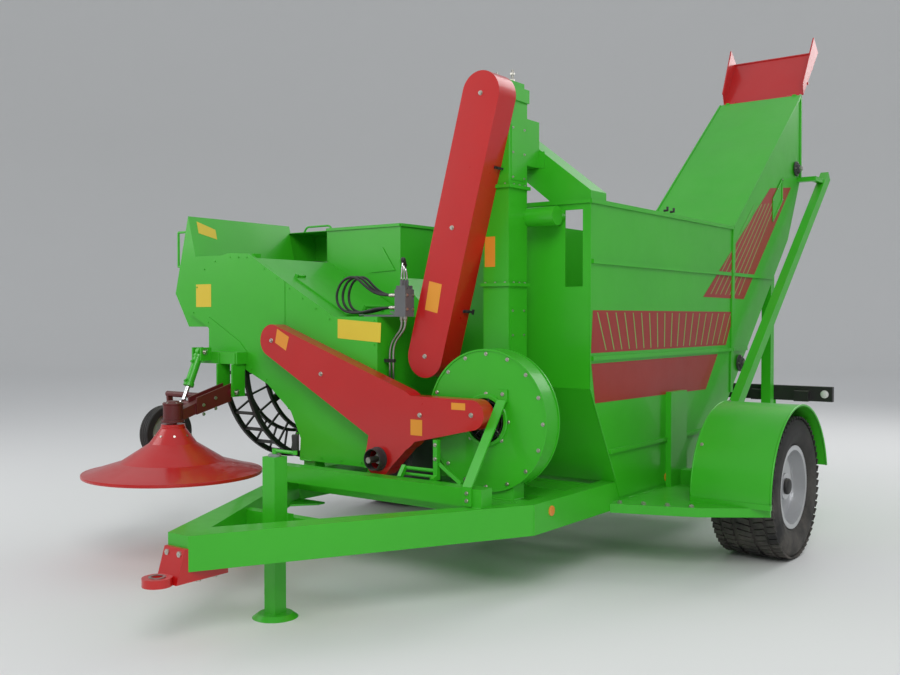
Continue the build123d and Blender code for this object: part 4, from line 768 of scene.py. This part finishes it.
RIM_X, CHUTE_X, BACK_X = 966, 214, -156
hems = bars(((RIM_X, -1272, 2258), (RIM_X, 996, 2258), 12, 26),
            ((-150, -1276, 2258), (RIM_X, -1276, 2258), 12, 26),
            ((BACK_X, -1272, 2258), (BACK_X, 996, 2258), 12, 26))
hems += bars(*[((x, 1000, 2266), (x, 2606, 3563), 12, 22) for x in (RIM_X, CHUTE_X)],
             *[((x, 2606, 2812), (x, 2606, 3560), 12, 24, rear) for x in (RIM_X, CHUTE_X)],
             ((RIM_X, 962, 990), (RIM_X, 1006, 2250), 10, 46, rear),
             ((-1290, -1166, 2210), (-590, -1166, 2210), 12, 20),
             ((-584, -1160, 2210), (-584, -450, 2210), 12, 20),
             ((-590, -444, 2210), (-1290, -444, 2210), 12, 20))
solid("sheet_hems", hems, GREEN)
FENDER_Y, FENDER_Z, LIP_R = -60, 440, 563


def on_fender(x, radius, degrees):
    """A spot on a circle round the fender's middle, the angle from the front upwards."""
    a = radians(degrees)
    return at(x, FENDER_Y - radius * cos(a), FENDER_Z + radius * sin(a)), (0, -cos(a), sin(a))


for side, name in ((-1, "right"), (1, "left")):
    lips = [tube([on_fender(side * x, LIP_R, 168 * k / 40)[0] for k in range(41)], size, 8)
            for x, size in ((1822, 7), (1318, 6))]
    solid(f"fender_lips_{name}", lips, GREEN, smooth=True)
    inner_x, outer_x = sorted((side * 1316, side * 1826))
    solid(f"fender_foot_{name}", box_between((inner_x, -632, 412), (outer_x, -606, 446)), GREEN)
    fasten(f"fender_bolts_{name}", [on_fender(side * 1350, 566, degrees) for degrees in (35, 90, 145)], 9, 7)
print(len(hems), "hems")

# %% Panel seam, gusset, handles and the pocket's hoop
lap = places((-967, -1901, 1488), (-961, -1901, 1488), (-961, -1901, 1806), (-967, -1901, 1806))
solid("panel_lap", plate(lap, front, 2.0), GREEN)
gusset = places((-863, -1161, 1885), (-633, -1161, 1894), (-747, -1161, 2058))
solid("receiving_gusset", plate(gusset, front, 6.0), GREEN)
hoop = rounded(places((-1930, -760, 2236), (-1900, -760, 2292), (-1640, -760, 2292), (-1610, -760, 2236)), 30)
solid("pocket_hoop", tube(hoop, 8), GREEN, smooth=True)
for y in (-250, -150):
    cleat = tube(places((960, y, 2285), (985, y, 2285), (985, y, 2310)), 9)
    solid(f"tank_cleat_{-y}", cleat, BLACK, smooth=True)

# %% [markdown]
# ## Drive side: guard fittings, blower grille and input shield
# The blower draws air through a round opening that a wire grille keeps hands out of. The guards are held by
# hinges on one side and rubber toggles on the other, and a plastic collar shields the input shaft.

# %% Blower grille and inlet ring
ring = lathe([(0, 128), (0, 150), (10, 150), (14, 146), (14, 128)], BLOWER, front, 64)
solid("blower_inlet_ring", ring, GREEN)
wires = []
for radius in (54, 74, 94, 114):
    section = [(8 + 2.4 * sin(TURN * k / 6), radius + 2.4 * cos(TURN * k / 6)) for k in range(6)]
    wires.append(lathe(section, BLOWER, front))
for k in range(6):
    a = pi / 3 * k + 0.3
    wires.append(tube([BLOWER + Vector((cos(a) * r, -12, sin(a) * r)) / 1000 for r in (52, 134)], 3, 6))
solid("blower_grille", wires, BLACK, smooth=True)
rims = [lathe([(a, 396), (a, 406), (b, 406), (b, 396)], BLOWER, front, 96)
        for a, b in ((-3, 6), (-127, -136))]
solid("blower_rims", rims, GREEN)
fasten("blower_rear_bolts", circle(BLOWER + Vector((0, 0.13, 0)), 378, 16, rear), 8, 6)

# %% Guard hinges and toggles
def toggle(place, out):
    """A rubber toggle: a base, a stretched strap and a T-shaped end."""
    along = Vector(rear)
    strap, end, wide = place + out * 0.012, place + out * 0.016 + along * 0.05, out.cross(along) * 0.016
    return joined([bar(place - along * 0.03, place + along * 0.03, 16, 10, out),
                   bar(strap - along * 0.02, strap + along * 0.05, 12, 9, out),
                   bar(end - wide, end + wide, 10, 12, out)])


lean = Vector((410, 0, 1530)).normalized()
side_out = Vector((1530, 0, -410)).normalized()
axis_low, axis_high = places((110, -1640, 1330), (520, -1640, 2860))
toggles = [toggle(axis_low.lerp(axis_high, share) + side_out * 0.133, side_out) for share in (0.2, 0.75)]
solid("tall_guard_toggles", toggles, RUBBER)
knuckles = []
for share in (0.15, 0.5, 0.85):
    middle = axis_low.lerp(axis_high, share) - side_out * 0.136 + Vector((0, -0.02, 0))
    leaf = middle + Vector((0, 0.03, 0))
    knuckles += [tube([middle - lean * 0.045, middle + lean * 0.045], 9, 12),
                 bar(leaf - lean * 0.04, leaf + lean * 0.04, 8, 50, rear)]
solid("tall_guard_hinges", knuckles, ZINC)
SHAFT_X, SHAFT_Z = -70, 720
SHIELD = [(0, 62), (0, 72), (8, 72), (10, 68), (52, 66), (56, 64), (56, 60), (10, 60)]
solid("input_shield", lathe(SHIELD, at(SHAFT_X, -2000, SHAFT_Z), front), RUBBER)
ribs = []
for k in range(6):
    out = Vector((cos(pi / 3 * k), 0, sin(pi / 3 * k))) * 0.0174
    ribs.append(bar(at(SHAFT_X, -2088, SHAFT_Z) + out, at(SHAFT_X, -2012, SHAFT_Z) + out, 7, 3.4, out))
solid("input_splines", ribs, STEEL, "pto_shaft")

# %% Rails and brace in front of the drive
rails = [tube(places((150, -2015, z), (385, -2015, z)), size) for z, size in ((690, 11), (655, 9))]
rails += bars(((385, -2015, 638), (385, -2015, 868), 30, 30, rear),
              ((150, -2060, 638), (150, -2015, 700), 26, 26, left),
              ((385, -2060, 640), (385, -2015, 660), 26, 26, left),
              ((398, -2015, 735), (590, -2060, 642), 22, 8, rear),
              ((700, -2156, 545), (700, -2156, 650), 60, 10, rear),
              ((700, -2156, 645), (735, -1872, 1100), 60, 10, (0, -455, 284)),
              ((735, -1861, 1090), (735, -1861, 1160), 60, 10, rear))
solid("drive_brace", rails, GREEN)
fasten("drive_brace_bolts", spots(front, (735, -1867, 1135), (700, -2161, 575), (700, -2161, 615),
                                  (385, -2031, 840), (385, -2031, 760)), 9, 7)

# %% Gearbox details
corners = [(x, y, 840) for x in (-138, 65) for y in (-1852, -1600)]
fasten("gearbox_bolts", spots(up, *corners), 10, 8)
BREATHER = [(0, 0), (0, 11), (14, 11), (14, 8), (20, 15), (34, 15), (38, 9), (38, 0)]
solid("gearbox_breather", lathe(BREATHER, at(-30, -1660, 840), up, 24), ZINC_BOLT)
print("drive side dressed")

# %% [markdown]
# ## Valve bank
# A hand-worked valve bank steers oil to the gathering arm. Its sections are clamped side by side, and each
# has a spool with a cap and a lever that ends in a plastic knob.

# %% Valve sections, levers and unions
KNOB = [(-14, 0), (-13, 9), (-6, 15), (4, 16), (12, 12), (16, 5), (16, 0)]
UNION = [(0, 0), (0, 13), (18, 13), (24, 9), (32, 9), (32, 0)]
valves, levers, knobs = [], [], []
for k in range(3):
    y = HOSE_Y + HOSE_PITCH * k
    valves += bars(((-44, y, 1745), (28, y, 1745), 18, 26))
    valves.append(tube(places((-8, y, 1740), (-8, y, 1792)), 10, 12))
    path = rounded(places((-8, y, 1790), (-8, y, 1830), (10 - 16 * k, y - 6, 1912 - 14 * k)), 20)
    levers.append(tube(path, 5))
    knobs.append(lathe(KNOB, path[-1], path[-1] - path[-2], 20))
solid("valve_sections", valves, GREY)
solid("valve_levers", levers, CHROME, smooth=True)
solid("valve_knobs", knobs, BLACK, smooth=True)
fasten("valve_bolts", spots(left, *[(36, y, z) for z in (1700, 1615) for y in (-1855, -1798)]), 7, 6)
PIPE_Y = -1826
pipes, unions = [], []
for x in (0, -28):
    route = places((x, PIPE_Y, 1572), (x, PIPE_Y, 1500), (x - 95, PIPE_Y, 1400), (x - 95, PIPE_Y, 840))
    pipes.append(tube(rounded(route, 60), 7, 12))
    unions += [lathe(UNION, at(x - 95, PIPE_Y, 839), up, 12), lathe(UNION, at(x, PIPE_Y, 1571), down, 12)]
solid("oil_pipes", pipes, STEEL, smooth=True)
solid("pipe_unions", unions, ZINC_BOLT)
clips = bars(*[((-162, PIPE_Y, z), (-84, PIPE_Y, z), 24, 20) for z in (1300, 1100, 900)])
solid("pipe_clips", clips, RUBBER)
print("valve bank dressed")

# %% [markdown]
# ## Conveyor inside the elevator
# The elevator lifts seeds on a belt with cross slats. Through its open mouth the belt, the slats and the
# head drum show, so these are made, while the part that nobody can see is left out.

# %% Belt, slats and head drum
SEAM_LOW, SEAM_BEND, HEAD = (1035, 1110), (2268, 2278), (2480, 2890)
sheets, slats = [], []
for start, end, count in ((SEAM_LOW, SEAM_BEND, 8), (SEAM_BEND, HEAD, 4)):
    run = Vector((0, end[0] - start[0], end[1] - start[1]))
    lift = Vector((0, -run.z, run.y)).normalized()
    sheets.append(plate(places((250, *start), (930, *start), (930, *end), (250, *end)), lift, 9.0))
    for k in range(count):
        share = (k + 0.5) / count
        y, z = start[0] + run.y * share, start[1] + run.z * share
        slats.append(bar(at(262, y, z) + lift * 0.032, at(918, y, z) + lift * 0.032, 46, 6, run))
solid("elevator_belt", sheets, RUBBER)
solid("elevator_slats", slats, STEEL)
DRUM = [(0, 0), (0, 70), (6, 78), (340, 84), (674, 78), (680, 70), (680, 0)]
solid("elevator_head_drum", lathe(DRUM, at(250, *HEAD), left), STEEL, smooth=True)

# %% Bearing housings, the drum's end and the elevator's drive
HOUSING = [(0, 0), (0, 66), (9, 66), (12, 62), (14, 44), (30, 40), (32, 36), (32, 0)]
MOTOR = [(54, 0), (54, 52), (66, 52), (68, 46), (158, 46), (162, 40), (162, 0)]
FOOT = (1130, 1210)
BEARINGS = (((968, *HEAD), left), ((212, *HEAD), right), ((968, *FOOT), left), ((212, *FOOT), right),
            ((DRUM_X, 2097, DRUM_Z), rear))
housings, caps = [], []
for number, (spot, direction) in enumerate(BEARINGS, 1):
    housings.append(lathe(HOUSING, at(*spot), direction, 40))
    caps.append(lathe([(30, 0), (30, 21), (52, 21), (54, 19), (54, 0)], at(*spot), direction, 24))
    bolts = circle(at(*spot) + Vector(direction) * 0.009, 54, 4, direction, 0.785)
    fasten(f"bearing_bolts_{number}", bolts, 8, 8)
solid("bearing_housings", housings, IRON)
solid("bearing_shaft_ends", caps, STEEL)
ports = [tube([at(70, *HEAD) + Vector((0, 0, z)) for z in ends], 13, 12)
         for ends in ((-0.020, -0.082), (0.020, 0.082))]
solid("elevator_motor", [lathe(MOTOR, at(212, *HEAD), right, 40), *ports], GREY)
print(len(housings), "bearing housings")

# %% [markdown]
# ## Casing of the sieve drum
# The half-round casing is held by straps, and a hatch on its side lets the drum be cleaned. The hatch hangs
# on two hinges, closes with two lever latches and has a bow handle.

# %% Straps and hatch
def edging(x, width, height, *lines):
    """Bars on an upright plane; each line is y, z and y, z."""
    return bars(*[((x, a, b), (x, c, d), width, height, left) for a, b, c, d in lines])


STRAPS_Y = (-300, 300, 900, 1500, 2060)
straps = []
for y in STRAPS_Y:
    curve = [at(DRUM_X - CASE_R * cos(pi * k / 28), y, DRUM_Z + CASE_R * sin(pi * k / 28)) for k in range(29)]
    path = [at(DRUM_X - CASE_R, y, 1020), *curve, at(DRUM_X + CASE_R, y, 1020)]
    for a, b in zip(path, path[1:]):
        out = (a + b) / 2 - at(DRUM_X, y, DRUM_Z)
        out.y = 0
        straps.append(bar(a, b, 44, 5, out))
solid("casing_straps", straps, GREEN)
fasten("strap_bolts", [(at(DRUM_X + side * (CASE_R + 3), y, z), (side, 0, 0)) for side in (-1, 1)
                       for y in STRAPS_Y for z in (1060, 1200)], 9, 7)
HATCH_X = -1247.0
hatch = plate([at(HATCH_X, y, z) for y, z in ((420, 1030), (780, 1030), (780, 1310), (420, 1310))], right, 5)
edge = edging(HATCH_X - 7, 16, 8, (420, 1038, 780, 1038), (420, 1302, 780, 1302), (428, 1046, 428, 1294),
              (772, 1046, 772, 1294))
solid("hatch", [hatch, *edge], GREEN)
grip = rounded(places((-1252, 540, 1130), (-1296, 540, 1130), (-1296, 660, 1130), (-1252, 660, 1130)), 18)
solid("hatch_handle", tube(grip, 7), ZINC_BOLT, smooth=True)
hinges = [tube(places((-1258, y - 40, 1322), (-1258, y + 40, 1322)), 9, 12) for y in (490, 710)]
latches = edging(-1260, 22, 12, (490, 1010, 490, 1085), (710, 1010, 710, 1085))
solid("hatch_hinges", hinges + latches, ZINC)
print("casing dressed")

# %% [markdown]
# ## Tower, chute and elevator covers
# The seed lift's tower is bolted together from lengths with flanges, and small bolted doors give access to
# the chain inside.

# %% Flanges and doors
flanges, flange_bolts = [], []
for z in (1180, 1760, 2340):
    flanges.append(box_between((404, -1616, z - 10), (616, -1384, z + 10)))
    flange_bolts += spots(up, *[(x, y, z + 10) for y in (-1609, -1391) for x in (440, 510, 580)],
                          *[(609, y, z + 10) for y in (-1560, -1500, -1440)])
solid("tower_flanges", flanges, GREEN)
fasten("tower_flange_bolts", flange_bolts, 6, 5)
DOORS = (((600, -1575, 2380), (604, -1425, 2700)), ((600, -1575, 1300), (604, -1425, 1620)),
         ((480, -1266, 2480), (640, -1262, 2580)))
solid("tower_doors", [box_between(*door) for door in DOORS], GREEN)
door_bolts = [(604, y, low + rise) for low in (1300, 2380) for y in (-1562, -1438) for rise in (15, 160, 305)]
fasten("tower_door_bolts", spots(left, *door_bolts), 6, 5)
screws = [tube(places((x, -1500, 2965), (x, -1500, 3040)), 8) for x in (450, 560)]
nuts = [lathe([(0, 0), (0, 14), (12, 14), (12, 0)], at(x, -1500, z), up, 6)
        for x in (450, 560) for z in (2972, 3010)]
solid("chain_tensioners", screws + nuts, ZINC_BOLT)
window = edging(967, 18, 6, (1880, 2560, 2120, 2760), (1880, 2380, 2120, 2580), (1886, 2380, 1886, 2565),
                (2114, 2575, 2114, 2760))
cover = plate([at(961, y, z) for y, z in ((1880, 2380), (2120, 2580), (2120, 2760), (1880, 2560))], left, 3)
solid("elevator_cover", [cover, *window], GREEN)
COVER_BOLTS = ((1886, 2385), (1886, 2558), (2114, 2582), (2114, 2755), (2000, 2480), (2000, 2660))
fasten("elevator_cover_bolts", [(at(970, y, z), left) for y, z in COVER_BOLTS], 6, 5)
print(len(flanges), "flanges")

# %% [markdown]
# ## Rear board with lamps
# For the road the machine needs tail lamps, indicators, reflectors and a plate holder. The plate stays blank.
# The lenses are moulded plastic with ridges inside; here a turned dome with a glossy coat stands for each.

# %% Lamp finishes
LENS_RED = finish("red lens", (0.42, 0.006, 0.006), (0.5, 0.01, 0.01), 0.12, coat=0.8, worn=0.0, dust=0.15,
                  grain=30.0)
LENS_AMBER = finish("amber lens", (0.75, 0.22, 0.01), (0.8, 0.28, 0.02), 0.12, coat=0.8, worn=0.0, dust=0.15,
                    grain=30.0)
WHITE = finish("white plate paint", (0.72, 0.72, 0.70), (0.66, 0.66, 0.64), 0.35, worn=0.2, dust=0.3)

# %% Lamps, reflectors and plate
BOARD_Z = 920
LENS = [(0, 0), (0, 39), (10, 38), (20, 32), (27, 20), (30, 0)]
lamp_boxes, reds, ambers = [], [], []
for x, inwards in ((400, 150), (1290, -150)):
    lamp_boxes.append(box_between((x - 95, 2140, BOARD_Z - 52), (x + 95, 2196, BOARD_Z + 52)))
    for offset, group in ((-46, reds), (46, ambers)):
        group.append(lathe(LENS, at(x + offset, 2196, BOARD_Z), rear, 36))
    reds.append(lathe([(0, 0), (0, 30), (8, 30), (8, 0)], at(x + inwards, 2140, BOARD_Z), rear, 3))
lamp_boxes += [box_between((x - 60, 2034, 856), (x + 60, 2100, 944)) for x in (790, 1160)]
lamp_boxes.append(box_between((297, 2096, 857), (1403, 2143, 983)))
solid("lamp_housings", lamp_boxes, BLACK)
whites = [lathe([(0, 0), (0, 34), (5, 34), (12, 28), (15, 0)], at(x, 2096, BOARD_Z), front, 32)
          for x in (340, 1340)]
solid("white_lenses", whites, WHITE, smooth=True)
solid("tail_lenses", reds, LENS_RED)
solid("indicator_lenses", ambers, LENS_AMBER, smooth=True)
solid("plate_blank", box_between((720, 2140, 868), (970, 2144, 968)), WHITE)
marks = [lathe([(0, 0), (0, 30), (6, 29), (8, 24), (8, 0)], at(side * 955, y, 480), (side, 0, 0), 24)
         for side in (-1, 1) for y in (-1700, -200, 1500)]
solid("side_reflectors", marks, LENS_AMBER)
print(len(reds), "red and", len(ambers), "amber lenses")

# %% [markdown]
# ## Gathering unit
# The cone turns under a bearing head at the end of the arm, and a small wheel beside it is there to carry
# the arm. Pins with washers and split pins join them.

# %% Pins and the bearing head
DISC_X, DISC_Y, PIN_R = -1430, -2440, 12
GAUGE_AT = (-2000, -2060, 750)
LIFT_LOW, LIFT_HIGH = (-1640, -2200, 985), (-1640, -2050, 1330)


def pin_end(place, direction, radius=PIN_R):
    """A washer, the pin's end and a split pin through it."""
    direction = Vector(direction)
    washer = lathe([(0, 0), (0, radius * 1.7), (4, radius * 1.7), (4, 0)], place, direction, 24)
    end = lathe([(0, 0), (0, radius), (15, radius), (17, radius * 0.8), (17, 0)], place, direction, 20)
    middle = place + direction * 0.010
    half = direction.orthogonal().normalized() * (radius + 9) / 1000
    return joined([washer, end, tube([middle - half, middle + half], 2.5, 6)])


pins = [pin_end(at(x + s * reach, y, z), (s, 0, 0))
        for (x, y, z), reach in (((DISC_X, -1985, 1060), 89), (LIFT_HIGH, 51)) for s in (-1, 1)]
solid("bracket_pins", pins, ZINC_BOLT)
pins = [pin_end(at(*LIFT_LOW) - Vector((0.030, 0, 0)), right),
        pin_end(at(*GAUGE_AT) - Vector((0.055, 0, 0)), right, 15)]
solid("arm_pins", pins, ZINC_BOLT, "gather_arm")
HEAD_CAP = [(110, 0), (110, 62), (114, 66), (122, 66), (126, 60), (128, 44), (136, 40), (138, 30), (138, 0)]
COLLAR = [(0, 63), (0, 72), (14, 72), (16, 63)]
solid("disc_bearing_cap", [lathe(profile, at(DISC_X, DISC_Y, 892), up, 40) for profile in (HEAD_CAP, COLLAR)],
      MAROON, "gather_arm")
fasten("disc_cap_bolts", circle(at(DISC_X, DISC_Y, 1014), 56, 6, up), 7, 6, "gather_arm")
fasten("arm_plate_bolts", [(at(DISC_X + s * 47, y, z), (s, 0, 0)) for s in (-1, 1) for y, z in
                           ((-2230, 990), (-2230, 930), (-2130, 1030), (-2130, 960))], 9, 7, "gather_arm")

# %% Cone and gauge wheel
cone_bolts = []
for k in range(8):
    a = pi / 4 * k + 0.2
    cone_bolts.append((at(DISC_X + 110 * cos(a), DISC_Y + 110 * sin(a), 808),
                       (cos(a) * 0.95, sin(a) * 0.95, 0.45)))
fasten("cone_bolts", cone_bolts, 8, 6, "gather_disc")
RIM_HEM = [(0, 556), (0, 564), (10, 566), (20, 564), (20, 556)]
rim_hem = lathe(RIM_HEM, at(DISC_X, DISC_Y, 558), up, 96)
neck = lathe([(0, 74), (0, 80), (12, 80), (16, 74)], at(DISC_X, DISC_Y, 850), up)
solid("cone_hem", [rim_hem, neck], RED, "gather_disc")
GAUGE, FACE = at(*GAUGE_AT), Vector((0.018, 0, 0))
grooves = [lathe([(x, 186), (x, 193), (x + 14, 193), (x + 14, 186)], GAUGE, left, 72)
           for x in (-38, -18, 4, 24)]
solid("gauge_tread", grooves, RUBBER, "gauge_wheel")
dishes = [lathe([(x, 30), (x, 142), (x + 3, 146), (x + 7, 142), (x + 5, 34)], GAUGE, left) for x in (-18, 12)]
solid("gauge_dish", dishes, SILVER, "gauge_wheel")
gauge_bolts = circle(GAUGE + FACE, 60, 5, left) + circle(GAUGE - FACE, 60, 5, right)
fasten("gauge_bolts", gauge_bolts, 8, 7, "gauge_wheel")

# %% Lift cylinder
low, high = places(LIFT_LOW, LIFT_HIGH)
run = (low - high).normalized()
gland = lathe([(225, 0), (225, 34), (231, 36), (250, 36), (253, 30), (253, 0)], high, run, 36)
foot = lathe([(24, 0), (24, 34), (40, 34), (44, 31), (44, 0)], high, run, 36)
seats = [tube([high + run * d + Vector((0, -0.028, 0)), high + run * d + Vector((0, -0.052, -0.01))], 9, 12)
         for d in (0.06, 0.20)]
solid("lift_gland", [gland, foot, *seats], GREEN, "lift_barrel")
print("gathering unit dressed")

# %% [markdown]
# ## Jack, tow eye and spout
# The crank has a turning grip, the tow eye is bolted to the nose so that it can be changed for another size,
# and the spout is stiffened with folded ribs and has a hand bow.

# %% Jack crank, foot pin and tow eye
GRIP = [(0, 0), (0, 15), (6, 18), (40, 16), (74, 18), (80, 15), (80, 0)]
solid("crank_grip", lathe(GRIP, at(150, -2900, 884), up, 24), RUBBER, smooth=True)
JACK_CAP = [(0, 0), (0, 34), (10, 34), (14, 26), (14, 0)]
solid("jack_cap", lathe(JACK_CAP, at(0, -2900, 840), up, 32), ZINC)
fasten("tow_eye_bolts", spots(front, *[(x, -3540, z) for x in (-45, 45) for z in (405, 455)])
       + spots(down, *[(x, y, 320) for x in (-45, 45) for y in (-3440, -3340)]), 14, 11)
eye_ring = lathe([(-24, 26.5), (-24, 40), (24, 40), (24, 26.5)], at(0, EYE_Y, EYE_Z), up, 40)
solid("eye_wear_ring", eye_ring, STEEL)

# %% Spout ribs and bow
RISE, PIVOT_X, PIVOT = radians(51.5), 590, (2642, 3565)
ALONG, ACROSS = Vector((0, cos(RISE), sin(RISE))), Vector((0, -sin(RISE), cos(RISE)))


def on_spout(x, along, height):
    return at(PIVOT_X + x, *PIVOT) + ALONG * along / 1000 + ACROSS * height / 1000


ribs = [bar(on_spout(-x, d, h), on_spout(x, d, h), width, height, ACROSS) for x, d, h, width, height in
        ((385, 200, -26, 26, 12), (385, 400, -26, 26, 12), (392, 612, -17, 14, 18))]
ribs += [bar(on_spout(side * 374, 100, 63), on_spout(side * 392, 618, 150), 12, 12, ACROSS)
         for side in (-1, 1)]
solid("spout_hems", ribs, RED, "spout")
bow = rounded([on_spout(x, 560, h) for x, h in ((-90, -22), (-90, -70), (90, -70), (90, -22))], 20)
solid("spout_bow", tube(bow, 8), RED, "spout", smooth=True)
nuts = [lathe([(0, 0), (0, 19), (13, 19), (13, 0)], at(PIVOT_X + s * 352, *PIVOT), (s, 0, 0), 6)
        for s in (-1, 1)]
solid("spout_hinge_nuts", nuts, ZINC_BOLT)

# %% Lid latches and panel screws
slope = Vector((490, 0, -260)).normalized()
normal = Vector((260, 0, 490)).normalized()
latches = []
for y in (-1650, -1300):
    spot = at(-545, y, 1583) + normal * 0.014
    latches.append(bar(spot - slope * 0.02, spot + slope * 0.035, 30, 12, normal))
solid("lid_latches", latches, ZINC, "crusher_lid")
# each row's two ends, as (x, z), and how many screws it holds
PANEL_ROWS = (((-1890, 1600), (-1850, 1780), 2), ((-1770, 1905), (-1655, 1958), 2),
              ((-1500, 1982), (-1330, 1974), 3), ((-1160, 1890), (-560, 1555), 6),
              ((-185, 1545), (-185, 670), 7), ((-290, 665), (-800, 665), 4), ((-850, 810), (-930, 970), 2),
              ((-1140, 1150), (-1430, 1282), 3), ((-1530, 1365), (-1730, 1530), 3))
screws = []
for (x0, z0), (x1, z1), count in PANEL_ROWS:
    screws += row((x0, PANEL_Y, z0), (x1, PANEL_Y, z1), count, front)
fasten("panel_screws", screws, 5.5, 4, material=GREEN)
print(len(screws), "panel screws")
